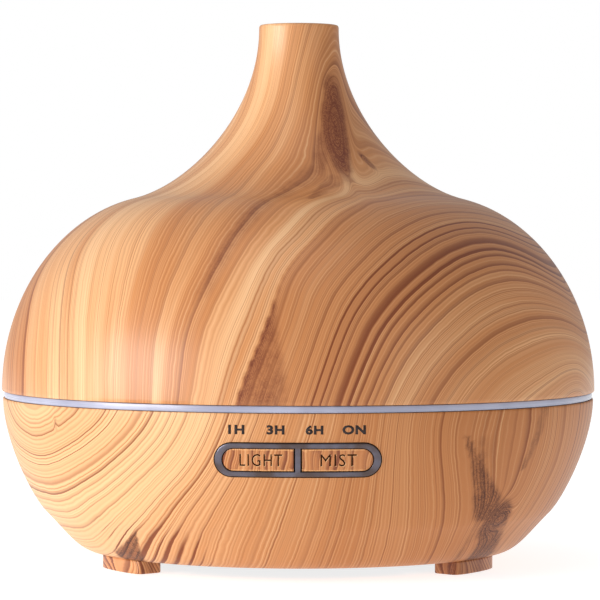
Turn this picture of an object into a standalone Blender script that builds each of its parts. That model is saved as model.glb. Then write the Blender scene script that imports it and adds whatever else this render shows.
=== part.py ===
# Essential oil diffuser: a lift-off teardrop cover over a bowl-shaped base on three feet.
# Sizes are in millimetres here and turned into metres as each shape is made.
# Z is up, the floor is z = 0, the buttons face -Y and the power inlet faces +Y.
from math import cos, pi, radians, sin, sqrt

import bmesh
import bpy
import numpy as np
from mathutils import Matrix, Vector

mm = 0.001

# The outside, which everything else is tied to
bodyRadius = 84.0          # cover at its foot, the widest place
neckTop = 152.4
neckRadius = 11.3
seamHeight = 46.8          # top edge of the base housing
footHeight = 3.9
wall = 2.2
ringHeight = 1.85          # band of the light ring that shows
restGap = 0.15             # between two faces that rest on each other
looseGap = 0.3             # between two pieces that only face each other
slideGap = 0.3             # round a button in its frame

# Heights and radii that follow from those
coverFoot = seamHeight + ringHeight + 0.25
shoulderHeight = coverFoot + 0.524 * (neckTop - coverFoot)
shoulderRadius = 0.555 * bodyRadius
shoulderSlope = radians(13.8)
housingRadius = bodyRadius - 0.35
floorEdge = 0.693 * bodyRadius     # where the flat underside starts
haunchRadius = 0.851 * bodyRadius  # where the side of the bowl leans 45 degrees
haunchHeight = footHeight + 0.254 * (seamHeight - footHeight)

across = bodyRadius / 84.0         # inner pieces keep their share of the radius
plateRadius = 47.0 * across
ledgeRadius = 42.5 * across
columnRadius = 45.0 * across       # circle that the four long screws stand on
innerFloor = footHeight + 3.5
tankUnder = 0.427 * seamHeight     # underside of the tank's floor
tankFloor = tankUnder + 2.0
tankTop = seamHeight + ringHeight + 2.1
tankRadius = 66.0 * across
tankWall = 2.0
wellRadius = 14.0
fanSize = 35.0
fanAway = 39.0 * across
fanLow = innerFloor + 0.6
fanHigh = tankUnder - 2.0
ductRadius = 12.0
boardLow = innerFloor + 1.7
boardTop = boardLow + 1.6

# The button frame: a pill that lies in the curved front
frameWidth = 43.5
frameHeight = 8.9
frameCentre = 0.739 * seamHeight
frameEdge = 1.9
buttonHeight = 5.9
dividerWidth = 1.47
frameProud = 0.5
buttonTravel = 0.6
labelHeight = 0.91 * seamHeight
labelPitch = 10.2

footAngles = {"left": -150.0, "right": -30.0, "rear": 90.0}
footSpan = radians(23.4)
footOuter = 58.0 * across
footInner = 49.4 * across
columnAngles = [45.0, 135.0, 225.0, 315.0]
thirdAngles = [90.0, 210.0, 330.0]
shellSteps = 48            # sides of the outer shells
innerSteps = 32            # and of what they hide

for old in list(bpy.data.objects):
    bpy.data.objects.remove(old, do_unlink=True)
scene = bpy.context.scene
pieces = bpy.data.collections.new("essential_oil_diffuser")
helpers = bpy.data.collections.new("cutters")
helpers.hide_render = True
scene.collection.children.link(pieces)
scene.collection.children.link(helpers)

looks = {
    "wood": ((0.52, 0.30, 0.15), 0.0, 0.35),
    "white": ((0.86, 0.86, 0.84), 0.0, 0.4),
    "glow": ((0.78, 0.86, 0.95), 0.0, 0.25),
    "chrome": ((0.45, 0.45, 0.47), 1.0, 0.2),
    "steel": ((0.6, 0.6, 0.6), 1.0, 0.35),
    "black": ((0.03, 0.03, 0.03), 0.0, 0.45),
    "rubber": ((0.08, 0.08, 0.08), 0.0, 0.7),
    "board": ((0.03, 0.16, 0.07), 0.0, 0.4),
    "brass": ((0.75, 0.55, 0.25), 1.0, 0.3),
    "copper": ((0.7, 0.35, 0.18), 1.0, 0.35),
    "alloy": ((0.7, 0.71, 0.72), 1.0, 0.4),
    "red": ((0.5, 0.03, 0.02), 0.0, 0.5),
}


def finish(obj, look, smooth=False):
    colour, metal, rough = looks[look]
    material = bpy.data.materials.new(obj.name)
    material.use_nodes = True
    shader = material.node_tree.nodes["Principled BSDF"]
    shader.inputs["Base Color"].default_value = (*colour, 1.0)
    shader.inputs["Metallic"].default_value = metal
    shader.inputs["Roughness"].default_value = rough
    obj.data.materials.append(material)
    if smooth and obj.type == "MESH":
        obj.data.polygons.foreach_set("use_smooth", [True] * len(obj.data.polygons))
    return obj


def place(name, data, home, at=(0, 0, 0), turn=0.0):
    obj = bpy.data.objects.new(name, data)
    home.objects.link(obj)
    obj.location = Vector(at) * mm
    obj.rotation_euler = (0, 0, radians(turn))
    if home is helpers:
        obj.hide_render = True
        obj.display_type = "WIRE"
    return obj


def curve(start, startHandle, endHandle, end, count):
    # points of a cubic Bezier, both ends included
    t = np.linspace(0, 1, count)[:, None]
    a, b, c, d = (np.array(p, float) for p in (start, startHandle, endHandle, end))
    return (1 - t) ** 3 * a + 3 * (1 - t) ** 2 * t * b + 3 * (1 - t) * t * t * c + t**3 * d


def inset(outline, distance):
    # moves an outline that runs down its outer side towards the axis, along its normals
    along = np.gradient(np.asarray(outline), axis=0)
    along /= np.linalg.norm(along, axis=1)[:, None]
    return outline + distance * np.stack([along[:, 1], -along[:, 0]], axis=1)


def turned(name, outline, home=pieces, steps=48, at=(0, 0, 0), loop=True):
    # a Screw of an outline of (radius, height) that runs down its outer side
    count = len(outline)
    mesh = bpy.data.meshes.new(name)
    edges = [(i, (i + 1) % count) for i in range(count if loop else count - 1)]
    mesh.from_pydata([(r * mm, 0, z * mm) for r, z in outline], edges, [])
    obj = place(name, mesh, home, at)
    screw = obj.modifiers.new("turn", "SCREW")
    screw.steps = screw.render_steps = steps
    screw.use_merge_vertices = True
    screw.merge_threshold = 1e-6
    screw.use_smooth_shade = True
    return obj


def rod(name, radius, low, high, home=helpers, at=(0, 0), steps=20, lying=False):
    # a cylinder that stands from low to high or, lying, runs along Y between them
    mesh = bpy.data.meshes.new(name)
    body = bmesh.new()
    bmesh.ops.create_cone(body, cap_ends=True, segments=steps, radius1=radius * mm,
                          radius2=radius * mm, depth=(high - low) * mm)
    if lying:
        bmesh.ops.rotate(body, verts=body.verts, matrix=Matrix.Rotation(-pi / 2, 3, "X"))
    body.to_mesh(mesh)
    body.free()
    middle = (low + high) / 2
    where = (at[0], middle, at[1]) if lying else (at[0], at[1], middle)
    return place(name, mesh, home, where)


def blocks(name, boxes, home=pieces, at=(0, 0, 0)):
    # boxes given as (low corner, high corner), which may be turned about Z by a third value
    body = bmesh.new()
    for box in boxes:
        low, high = Vector(box[0]), Vector(box[1])
        turn = Matrix.Rotation(radians(box[2]), 4, "Z") if len(box) > 2 else Matrix()
        shape = Matrix.Translation((low + high) / 2 * mm) @ Matrix.Diagonal((*((high - low) * mm), 1))
        bmesh.ops.create_cube(body, size=1, matrix=turn @ shape)
    mesh = bpy.data.meshes.new(name)
    body.to_mesh(mesh)
    body.free()
    return place(name, mesh, home, at)


def prism(name, outline, low, high, home=helpers, lying=False):
    # an outline drawn in XY and raised from low to high or, lying, in XZ and pushed along Y
    body = bmesh.new()
    corners = [body.verts.new((a * mm, low * mm, b * mm) if lying else (a * mm, b * mm, low * mm))
               for a, b in outline]
    face = body.faces.new(corners)
    raised = bmesh.ops.extrude_face_region(body, geom=[face])["geom"]
    push = (0, (high - low) * mm, 0) if lying else (0, 0, (high - low) * mm)
    bmesh.ops.translate(body, vec=push, verts=[v for v in raised if isinstance(v, bmesh.types.BMVert)])
    bmesh.ops.recalc_face_normals(body, faces=body.faces)
    mesh = bpy.data.meshes.new(name)
    body.to_mesh(mesh)
    body.free()
    return place(name, mesh, home)


def combine(obj, other, how, overlapping=False):
    change = obj.modifiers.new(how.lower(), "BOOLEAN")
    change.operation = how
    change.solver = "EXACT"
    change.object = other
    change.use_self = overlapping
    return obj


def cut(obj, *others):
    for other in others:
        combine(obj, other, "DIFFERENCE")
    return obj


def join(obj, *others):
    for other in others:
        combine(obj, other, "UNION")
    return obj


def soften(obj, width, segments=1):
    bevel = obj.modifiers.new("soften", "BEVEL")
    bevel.width = width * mm
    bevel.segments = segments
    bevel.limit_method = "ANGLE"
    bevel.angle_limit = radians(40)
    return obj


def around(radius, angle):
    return radius * cos(radians(angle)), radius * sin(radians(angle))


def screwPiece(name, at, seat, tip, headRadius=2.3, shankRadius=0.9, upwards=True):
    # a pan head screw whose head bears on the height seat and whose shank ends at tip
    headHeight = 0.6 * headRadius
    length = abs(tip - seat)
    outline = [(0, length), (shankRadius, length - 1.2),
               (shankRadius, 0), (headRadius, 0), (headRadius, -0.55 * headHeight),
               (0.65 * headRadius, -headHeight), (0, -headHeight)]
    obj = turned(name, outline, steps=10, at=(*at, seat), loop=False)
    if not upwards:
        obj.rotation_euler = (pi, 0, 0)
    slot = blocks(name + "_slot", [((-0.28, -1.2 * headRadius, -headHeight - 1),
                                    (0.28, 1.2 * headRadius, -0.62 * headHeight))], home=helpers)
    slot.parent = obj
    return finish(cut(obj, slot), "steel")


def lead(name, route, radius, look):
    # a wire through the points given, as a round section with closed ends
    data = bpy.data.curves.new(name, "CURVE")
    data.dimensions = "3D"
    data.bevel_depth = radius * mm
    data.bevel_resolution = 1
    data.resolution_u = 3
    data.use_fill_caps = True
    spline = data.splines.new("NURBS")
    spline.points.add(len(route) - 1)
    for point, (x, y, z) in zip(spline.points, route):
        point.co = (x * mm, y * mm, z * mm, 1)
    spline.order_u = 3
    spline.use_endpoint_u = True
    return finish(place(name, data, pieces), look)


# Outlines of the two outer shells, each running down from its top edge
def coverOutline(count):
    drop = np.array([0, -1.0])
    lean = np.array([cos(shoulderSlope), -sin(shoulderSlope)])
    rim = np.array([neckRadius, neckTop - 1.1])
    shoulder = np.array([shoulderRadius, shoulderHeight])
    foot = np.array([bodyRadius, coverFoot])
    tall = (neckTop - coverFoot) / 103.5
    upper = curve(rim, rim + 24.0 * tall * drop, shoulder - 16.1 * across * lean, shoulder, count)
    lower = curve(shoulder, shoulder + 22.3 * across * lean, foot - 25.9 * tall * drop, foot, count)
    return np.vstack([upper, lower[1:]])


def baseOutline(count):
    deep = (seamHeight - footHeight) / 42.9
    top = np.array([housingRadius, seamHeight])
    haunch = np.array([haunchRadius, haunchHeight])
    edge = np.array([floorEdge, footHeight])
    lean = np.array([-cos(radians(44.7)), -sin(radians(44.7))])
    side = curve(top, top + [0, -11.7 * deep], haunch - 5.7 * across * lean, haunch, count)
    under = curve(haunch, haunch + 7.0 * across * lean, edge + [4.3 * across, 0], edge, 4)
    return np.vstack([side, under[1:]])


def heightOn(outline, radius):
    order = np.argsort(outline[:, 0])
    return float(np.interp(radius, outline[order, 0], outline[order, 1]))


def radiusOn(outline, height):
    order = np.argsort(outline[:, 1])
    return float(np.interp(height, outline[order, 1], outline[order, 0]))


bowl = baseOutline(8)
frontRadius = radiusOn(bowl, frameCentre)


def skin(name, outward, inward):
    # a slice of the bowl's side between two offsets from its outer face, to shape what lies in it
    fine = baseOutline(8)
    outer, inner = inset(fine, -outward), inset(fine, -inward)
    return turned(name, np.vstack([outer[:-3], inner[:-3][::-1]]), home=helpers, steps=72)


def pill(width, height, count=9):
    # outline of a flat pill in (x, z) round the frame's centre
    turn = np.linspace(-pi / 2, pi / 2, count)
    r = height / 2
    right = np.stack([width / 2 - r + r * np.cos(turn), r * np.sin(turn)], axis=1)
    left = np.stack([-width / 2 + r - r * np.cos(turn), -r * np.sin(turn)], axis=1)
    return np.vstack([right, left]) + [0, frameCentre]


def halfPill(side, nearEnd, farEnd, height, count=9):
    # a button's outline: straight beside the divider, round at the far end
    turn = np.linspace(-pi / 2, pi / 2, count)
    r = height / 2
    round_ = np.stack([farEnd - r + r * np.cos(turn), r * np.sin(turn)], axis=1)
    outline = np.vstack([[nearEnd, -r], round_, [nearEnd, r]])
    outline[:, 0] *= side
    return outline + [0, frameCentre]


# Cover with the three bosses that hold the mist hood
shellOuter = coverOutline(8)
shellInner = inset(coverOutline(4), wall)
shellInner[-1] = (bodyRadius - wall, coverFoot)
rimRound = [(neckRadius - wall + 0.2, neckTop), (neckRadius - 1.1, neckTop),
            (neckRadius - 0.3, neckTop - 0.35)]
shellInner[0] = (neckRadius - wall, neckTop - 0.5)
cover = turned("cover_shell", np.vstack([rimRound, shellOuter, shellInner[::-1]]), steps=shellSteps)
finish(cover, "wood")
bossCircle = 45.0 * across
bossRadius = 3.2
bossTop = heightOn(shellOuter, bossCircle + bossRadius) - 0.5
bossLow = bossTop - 9.4
for number, angle in enumerate(thirdAngles, 1):
    x, y = around(bossCircle, angle)
    join(cover, rod(f"cover_boss_{number}", bossRadius, bossLow, bossTop, at=(x, y), steps=12))
    cut(cover, rod(f"cover_pilot_{number}", 1.2, bossLow - 1, bossTop - 3, at=(x, y), steps=12))

# Mist hood: a second, thinner funnel with a chimney in the neck and a drip lip in the tank
chimneyRadius = neckRadius - wall - 0.9
hoodWall = 1.5
hoodFoot = tankTop + looseGap
tall = (neckTop - coverFoot) / 103.5
hoodShoulder = np.array([0.5 * bodyRadius, bossLow - 0.7])
hoodLean = np.array([cos(radians(17)), -sin(radians(17))])
hoodTop = np.array([chimneyRadius, neckTop - 1.4])
hoodEdge = np.array([73.0 * across, hoodFoot])
hoodUpper = curve(hoodTop, hoodTop + [0, -27 * tall], hoodShoulder - 15 * across * hoodLean,
                  hoodShoulder, 5)
hoodLower = curve(hoodShoulder, hoodShoulder + 16 * across * hoodLean, hoodEdge + [0, 22 * tall],
                  hoodEdge, 4)
hoodOuter = np.vstack([hoodUpper, hoodLower[1:]])
hoodInner = inset(hoodOuter, hoodWall)
lipRadius = tankRadius - 1.9
hoodInner[0] = (chimneyRadius - hoodWall, hoodTop[1])
hoodInner[-1] = (hoodEdge[0] - hoodWall, hoodFoot + hoodWall)
lip = [(lipRadius, hoodFoot), (lipRadius, tankTop - 4), (lipRadius - 1.4, tankTop - 4),
       (lipRadius - 1.4, hoodFoot + hoodWall)]
hood = turned("mist_hood", np.vstack([hoodOuter, lip, hoodInner[::-1]]), steps=innerSteps)
finish(hood, "white")
padTop = bossLow - looseGap
padLow = heightOn(hoodOuter, bossCircle) - 3.4
for number, angle in enumerate(thirdAngles, 1):
    x, y = around(bossCircle, angle)
    join(hood, rod(f"hood_pad_{number}", 4.4, padLow, padTop, at=(x, y), steps=12))
    cut(hood, rod(f"hood_hole_{number}", 1.5, padLow - 1, padTop + 1, at=(x, y), steps=12))
    screwPiece(f"hood_screw_{number}", (x, y), padLow - 0.1, bossTop - 4, shankRadius=0.9)

# Base housing: the bowl, with a ledge round its open floor
bowlInner = inset(baseOutline(4), wall)
bowlInner = bowlInner[bowlInner[:, 1] > innerFloor + 0.8]
bowlInner[0] = (housingRadius - wall, seamHeight)
lastRadius = bowlInner[-1][0] - (bowlInner[-1][1] - innerFloor)
recess = [(plateRadius + 0.4, footHeight), (plateRadius + 0.4, innerFloor - 1.6),
          (ledgeRadius, innerFloor - 1.6), (ledgeRadius, innerFloor), (lastRadius, innerFloor)]
housing = turned("base_housing", np.vstack([bowl, recess, bowlInner[::-1]]), steps=shellSteps)
finish(housing, "wood")

# the inlet's pocket is a block that follows the bowl, bored from outside
inletHeight = 0.513 * seamHeight
inletFace = radiusOn(bowl, inletHeight) - 3.9
jackBack = inletFace - 4.2
pocket = blocks("inlet_pocket", [((-8, inletFace - 3.6, inletHeight - 7),
                                  (8, inletFace + 12, inletHeight + 7))], home=helpers)
core = np.vstack([[(0, seamHeight - 6)], inset(bowl[:-3], 0.5)[2:], [(0, haunchHeight - 2)]])
combine(pocket, turned("inlet_core", core, home=helpers, steps=64, loop=False), "INTERSECT")
join(housing, pocket)
cut(housing, rod("inlet_bore", 5.6, inletFace, inletFace + 20, at=(0, inletHeight), lying=True),
    rod("inlet_hole", 4.2, inletFace - 8, inletFace + 2, at=(0, inletHeight), lying=True))
cut(housing, prism("frame_hole", pill(frameWidth + 0.5, frameHeight + 0.5), -bodyRadius - 5,
                   -frontRadius + 14, lying=True))
boardHalf = frameWidth / 2 + 2.25
boardDrop = 0.19 * seamHeight - 1.7    # from the frame's centre to the button board's lower edge
railFront = sqrt((radiusOn(bowlInner, frameCentre - 4) + 1.2) ** 2 - (boardHalf + 2.6) ** 2)
railRear = frontRadius - 11.6
rails = blocks("board_rails", [((side * (boardHalf + 1.5) - 1.1, -railFront, frameCentre - 4),
                                (side * (boardHalf + 1.5) + 1.1, -railRear, frameCentre + 6))
                               for side in (-1, 1)], home=helpers)
join(housing, rails)
for number, angle in enumerate(columnAngles, 1):
    cut(housing, rod(f"ledge_hole_{number}", 1.7, footHeight, innerFloor + 2,
                     at=around(columnRadius, angle), steps=12))
footMiddle = (footOuter + footInner) / 2
for side, angle in footAngles.items():
    cut(housing, rod(f"foot_hole_{side}", 2.5, footHeight - 2, innerFloor + 2,
                     at=around(footMiddle, angle), steps=12))

# Light ring: the pale band between the shells, with a lip that centres the cover
ringRadius = bodyRadius - 0.7
bandLow, bandTop = seamHeight + 0.1, seamHeight + 0.1 + ringHeight
ringSkirt = 2.4             # how far the ring reaches down inside the bowl
ringLip = min(bodyRadius - wall - 0.8, radiusOn(bowlInner, bandLow - ringSkirt) - looseGap)
ring = turned("light_ring", [(ringLip, bandTop + 2.8), (ringLip, bandTop), (ringRadius, bandTop),
                             (ringRadius, bandLow), (ringLip, bandLow), (ringLip, bandLow - ringSkirt),
                             (ringLip - 2.4, bandLow - ringSkirt), (ringLip - 4, bandLow),
                             (ringLip - 4, bandTop), (ringLip - 2.0, bandTop),
                             (ringLip - 2.0, bandTop + 2.8)], steps=shellSteps)
finish(ring, "glow")

# Water tank: a bowl with a flange, a well for the transducer and a duct for the fan's air
flangeRadius = ringLip - 2.0 - looseGap
tankLowRadius = 57.0 * across
innerSide = curve((tankRadius, tankTop), (tankRadius - 2 * across, tankTop - 18),
                  (tankLowRadius + 1, tankFloor + 6), (tankLowRadius - 6, tankFloor), 4)
outerSide = curve((tankLowRadius - 5, tankUnder), (tankLowRadius + 3.2, tankUnder + 6),
                  (tankRadius + tankWall - 2 * across, tankTop - 18),
                  (tankRadius + tankWall, bandTop + restGap), 4)
wellFoot = tankUnder - 6.8
seatLow = wellFoot + 4.0
seatTop = seatLow + 1.6
discRadius = 10.0
tankShape = np.vstack([
    [(flangeRadius, tankTop), (flangeRadius, bandTop + restGap)], outerSide[::-1],
    [(wellRadius, tankUnder), (wellRadius, wellFoot), (discRadius + 1.2, wellFoot),
     (discRadius + 1.2, seatLow), (8.0, seatLow), (8.0, seatTop), (12.5, tankFloor)],
    innerSide[::-1]])
tank = turned("water_tank", tankShape, steps=innerSteps)
finish(tank, "white")
ductTop = tankTop + 9.0
join(tank, rod("duct_tube", ductRadius, tankUnder + 0.6, ductTop, at=(0, fanAway), steps=24))
cut(tank, rod("duct_bore", ductRadius - 1.8, tankUnder - 3, ductTop + 3, at=(0, fanAway), steps=24))
for number, angle in enumerate(columnAngles, 1):
    spot = around(columnRadius, angle)
    join(tank, rod(f"tank_column_{number}", 3.2, innerFloor + looseGap, tankFloor - 1, at=spot, steps=12))
    cut(tank, rod(f"tank_pilot_{number}", 1.5, innerFloor - 2, tankUnder - 2, at=spot, steps=12))
clampCircle = wellRadius + 2.0
for number, angle in enumerate(thirdAngles, 1):
    spot = around(clampCircle, angle)
    join(tank, rod(f"clamp_boss_{number}", 2.6, wellFoot, tankUnder + 1, at=spot, steps=12))
    cut(tank, rod(f"clamp_pilot_{number}", 1.2, wellFoot - 1, tankUnder - 1, at=spot, steps=12))
fanHole = fanSize / 2 - 3.0
for side in (-1, 1):
    spot = (side * fanHole, fanAway - fanHole)
    join(tank, rod(f"fan_boss_{side + 2}", 3.4, tankUnder + 1, tankFloor + 5, at=spot, steps=12))
    cut(tank, rod(f"fan_pilot_{side + 2}", 1.5, tankUnder - 2, tankFloor + 3, at=spot, steps=12))

# Transducer: a disc in a rubber seal, held up in the well by a clamp and three screws
sealLow, sealTop = wellFoot + 1.0, seatLow - 0.2
discLow = (sealLow + sealTop) / 2 - 0.4
finish(turned("transducer_disc", [(0, discLow + 0.8), (discRadius - 0.4, discLow + 0.8),
                                  (discRadius - 0.4, discLow), (0, discLow)], steps=32, loop=False), "brass")
finish(turned("transducer_seal", [(discRadius + 0.9, sealTop), (discRadius + 0.9, sealLow), (8.3, sealLow),
                                  (8.3, discLow - 0.2), (discRadius - 0.1, discLow - 0.2),
                                  (discRadius - 0.1, discLow + 1.0), (8.3, discLow + 1.0), (8.3, sealTop)],
              steps=28), "rubber")
clampRadius = 19.5
clampTop = wellFoot - 0.2
clamp = turned("transducer_clamp", [(discRadius + 0.8, sealLow - 0.2), (discRadius + 0.8, clampTop),
                                    (clampRadius, clampTop), (clampRadius, clampTop - 1.2),
                                    (7.2, clampTop - 1.2), (7.2, clampTop), (8.6, sealLow - 0.2)], steps=28)
finish(clamp, "alloy")
for number, angle in enumerate(thirdAngles, 1):
    spot = around(clampCircle, angle)
    cut(clamp, rod(f"clamp_hole_{number}", 1.3, clampTop - 3, clampTop + 2, at=spot, steps=12))
    screwPiece(f"clamp_screw_{number}", spot, clampTop - 1.3, tankUnder - 1.6, headRadius=2.0,
               shankRadius=0.85)

# Fan: a square frame, its rotor and a foam gasket under the tank
half = fanSize / 2
frame = blocks("fan_frame", [((-half, -half, 0), (half, half, fanHigh - fanLow))], at=(0, fanAway, fanLow))
boreRadius = half - 1.5
bore = rod("fan_bore", boreRadius, fanLow - 1, fanHigh + 1, at=(0, fanAway), steps=32)
cut(frame, bore)
for x in (-1, 1):
    for y in (-1, 1):
        cut(frame, rod(f"fan_hole_{x + 2}{y + 2}", 1.6, fanLow - 1, fanHigh + 1,
                       at=(x * fanHole, fanAway + y * fanHole), steps=12))
hubRadius = 7.6
arm = ((5.5, -1.1, 0.1), (boreRadius + 0.7, 1.1, 1.2))
spider = blocks("fan_spider", [(*arm, turn) for turn in thirdAngles], home=helpers,
                at=(0, fanAway, fanLow))
join(frame, spider, rod("fan_mount", hubRadius, fanLow, fanLow + 1.3, at=(0, fanAway), steps=24))
finish(frame, "black")
rotorLow, rotorHigh = fanLow + 1.7, fanHigh - 0.8
rotor = turned("fan_rotor", [(0, rotorHigh), (hubRadius - 0.8, rotorHigh), (hubRadius, rotorHigh - 0.8),
                             (hubRadius, rotorLow), (0, rotorLow)], steps=28, at=(0, fanAway, 0), loop=False)
vanes = bmesh.new()
bladeCount = 7
bladePitch = radians(42)
bladeThick = 0.9
bladeDepth = min(7.4, (rotorHigh - rotorLow - bladeThick) / sin(bladePitch))
bladeLength = boreRadius - 0.8 - hubRadius + 1.5
for number in range(bladeCount):
    spin = Matrix.Rotation(2 * pi * number / bladeCount, 4, "Z")
    bladeMiddle = (hubRadius - 1.5 + bladeLength / 2, 0, (rotorLow + rotorHigh) / 2)
    reach = Matrix.Translation(Vector(bladeMiddle) * mm)
    pitch = Matrix.Rotation(bladePitch, 4, "X")
    size = Matrix.Diagonal((bladeLength * mm, bladeDepth * mm, bladeThick * mm, 1))
    bmesh.ops.create_cube(vanes, size=1, matrix=spin @ reach @ pitch @ size)
vaneMesh = bpy.data.meshes.new("fan_vanes")
vanes.to_mesh(vaneMesh)
vanes.free()
combine(rotor, place("fan_vanes", vaneMesh, helpers, (0, fanAway, 0)), "UNION", overlapping=True)
finish(rotor, "black")
gasket = blocks("fan_gasket", [((-half, -half, 0), (half, half, 1.5))], at=(0, fanAway, fanHigh + 0.2))
cut(gasket, rod("gasket_bore", boreRadius - 1.5, fanHigh - 1, fanHigh + 4, at=(0, fanAway), steps=32))
for side in (-1, 1):
    spot = (side * fanHole, fanAway - fanHole)
    cut(gasket, rod(f"gasket_hole_{side + 2}", 1.6, fanHigh - 1, fanHigh + 4, at=spot, steps=12))
    screwPiece(f"fan_screw_{(side + 3) // 2}", spot, fanLow - 0.1, tankFloor + 2, shankRadius=1.1)
finish(gasket, "rubber")

# Base plate with the air intake and the posts that carry the main board
plateLow, plateTop = footHeight + 0.2, innerFloor - 1.8
plate = turned("base_plate", [(0, plateTop), (plateRadius, plateTop), (plateRadius, plateLow), (0, plateLow)],
               steps=innerSteps, loop=False)
postSpots = [(-20.0 * across, -27.0 * across), (20.0 * across, -27.0 * across), (0.0, -38.0 * across)]
for number, spot in enumerate(postSpots, 1):
    join(plate, rod(f"board_post_{number}", 2.6, plateTop - 0.8, boardLow - 0.15, at=spot, steps=12))
slotSpots = np.arange(7.0, 34.0, 4.4) * across
slotEnds = np.sqrt((36.0 * across) ** 2 - slotSpots**2) * 0.62
cut(plate, blocks("intake_slots", [((-end, y - 1.1, plateLow - 1), (end, y + 1.1, plateTop + 1))
                                   for y, end in zip(slotSpots, slotEnds)], home=helpers))
for number, angle in enumerate(columnAngles, 1):
    spot = around(columnRadius, angle)
    cut(plate, rod(f"plate_hole_{number}", 1.7, plateLow - 1, plateTop + 1, at=spot, steps=12))
    screwPiece(f"base_screw_{number}", spot, plateLow - 0.1, tankUnder - 3.4, headRadius=2.1,
               shankRadius=1.1)
finish(plate, "black")

# Feet: arched pads that clip into the housing with a peg
for side, angle in footAngles.items():
    # a ring sector drawn as (radius, sweep): the ends bulge so that the corners are round
    sweep = np.linspace(-pi, pi, 20, endpoint=False)
    bulge = [np.sign(wave) * np.abs(wave) ** 0.35 for wave in (np.cos(sweep), np.sin(sweep))]
    radii = footMiddle + bulge[0] * (footOuter - footInner) / 2
    angles = bulge[1] * footSpan / 2
    outline = np.stack([radii * np.cos(angles), radii * np.sin(angles)], axis=1)
    foot = prism(f"foot_{side}", outline, 0.0, footHeight - 0.1, home=pieces)
    foot.rotation_euler = (0, 0, radians(angle))
    soften(foot, 0.35)
    peg = rod(f"foot_peg_{side}", 2.1, footHeight - 1.5, innerFloor + 0.3, at=around(footMiddle, angle),
              steps=12)
    join(foot, peg)
    finish(foot, "wood")

# Main board and what is soldered on it
boardFront, boardRear = -50.0 * across, -23.0 * across
boardSide = 27.0 * across
board = blocks("main_board", [((-boardSide, boardFront, boardLow), (boardSide, boardRear, boardTop))])
for number, spot in enumerate(postSpots[:2], 1):
    cut(board, rod(f"board_hole_{number}", 1.4, boardLow - 1, boardTop + 1, at=spot, steps=12))
    cut(plate, rod(f"post_pilot_{number}", 1.2, plateTop + 0.3, boardLow + 1, at=spot, steps=12))
    screwPiece(f"board_screw_{number}", spot, boardTop + 0.1, plateTop + 0.8, headRadius=2.2,
               shankRadius=0.85, upwards=False)
finish(board, "board")
partLow = boardTop + 0.15


def onBoard(name, x, y, width, depth, height, look):
    size = [((-width / 2, -depth / 2, 0), (width / 2, depth / 2, height))]
    return finish(soften(blocks(name, size, at=(x * across, y * across, partLow)), 0.25), look)


def standing(name, x, y, radius, height, look):
    outline = [(0, height), (radius - 0.5, height), (radius, height - 0.5), (radius, 0), (0, 0)]
    return finish(turned(name, outline, steps=16, at=(x * across, y * across, partLow), loop=False), look)


room = tankUnder - 0.8 - partLow
standing("capacitor_1", -22.5, -34.8, 3.2, min(8.0, room), "black")
standing("capacitor_2", 22.5, -34.8, 3.2, min(8.0, room), "black")
coilHeight = min(6.6, room)
coil = turned("power_inductor", [(0, coilHeight), (5.0, coilHeight), (5.0, coilHeight - 1.0),
                                 (4.2, coilHeight - 1.0), (4.2, 1.0), (5.0, 1.0),
                                 (5.0, 0), (0, 0)], steps=24,
              at=(-13.0 * across, -42.0 * across, partLow), loop=False)
finish(coil, "copper")
finCount = 5
sink = blocks("heat_sink", [((-5, -3.5, 0), (5, 3.5, 1.6))], at=(13.0 * across, -42.5 * across, partLow))
fins = blocks("heat_sink_fins", [((-4.9 + i * 2.2, -3.4, 1.0), (-3.9 + i * 2.2, 3.4, min(7.5, room)))
                                 for i in range(finCount)], home=helpers,
              at=(13.0 * across, -42.5 * across, partLow))
finish(join(sink, fins), "alloy")
onBoard("transducer_connector", 4.0, -27.0, 8.0, 5.0, 4.6, "white")
onBoard("fan_connector", -9.5, -27.0, 6.0, 5.0, 4.6, "white")
onBoard("button_connector", 0.0, -47.0, 10.0, 4.4, 4.6, "white")
for number, (x, y) in enumerate([(-22.8, -45.5), (22.8, -45.5), (-5.0, -36.5), (6.2, -36.0)], 1):
    onBoard(f"mood_light_{number}", x, y, 5.0, 5.0, 1.6, "white")

# Button board, switches and indicator lights behind the front of the bowl
boardRoom = radiusOn(bowlInner, frameCentre - boardDrop) - looseGap
boardFace = -min(frontRadius - 9.25, sqrt(boardRoom**2 - boardHalf**2))
panel = blocks("button_board", [((-boardHalf, boardFace, frameCentre - boardDrop),
                                 (boardHalf, boardFace + 1.6, labelHeight + 1.7))])
finish(panel, "board")
buttonNear = dividerWidth / 2
buttonFar = frameWidth / 2 - frameEdge
buttonMiddle = (buttonNear + buttonFar) / 2
switchFace = boardFace - 3.1
for side, kind in ((-1, "light"), (1, "mist")):
    x = side * buttonMiddle
    body = blocks(f"{kind}_switch", [((-3, -3.1, -3), (3, -0.2, 3))], at=(x, boardFace, frameCentre))
    cut(body, rod(f"{kind}_switch_well", 2.0, switchFace - 1, switchFace + 1.9, at=(x, frameCentre),
                  lying=True))
    finish(body, "black")
    plunger = rod(f"{kind}_switch_plunger", 1.6, switchFace - 0.7, switchFace + 1.0, home=pieces,
                  at=(x, frameCentre), lying=True)
    finish(plunger, "red")
for number in range(4):
    x = (number - 1.5) * labelPitch
    finish(blocks(f"timer_light_{number + 1}", [((x - 1, boardFace - 0.95, labelHeight - 0.6),
                                                 (x + 1, boardFace - 0.15, labelHeight + 0.6))]), "white")

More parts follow.
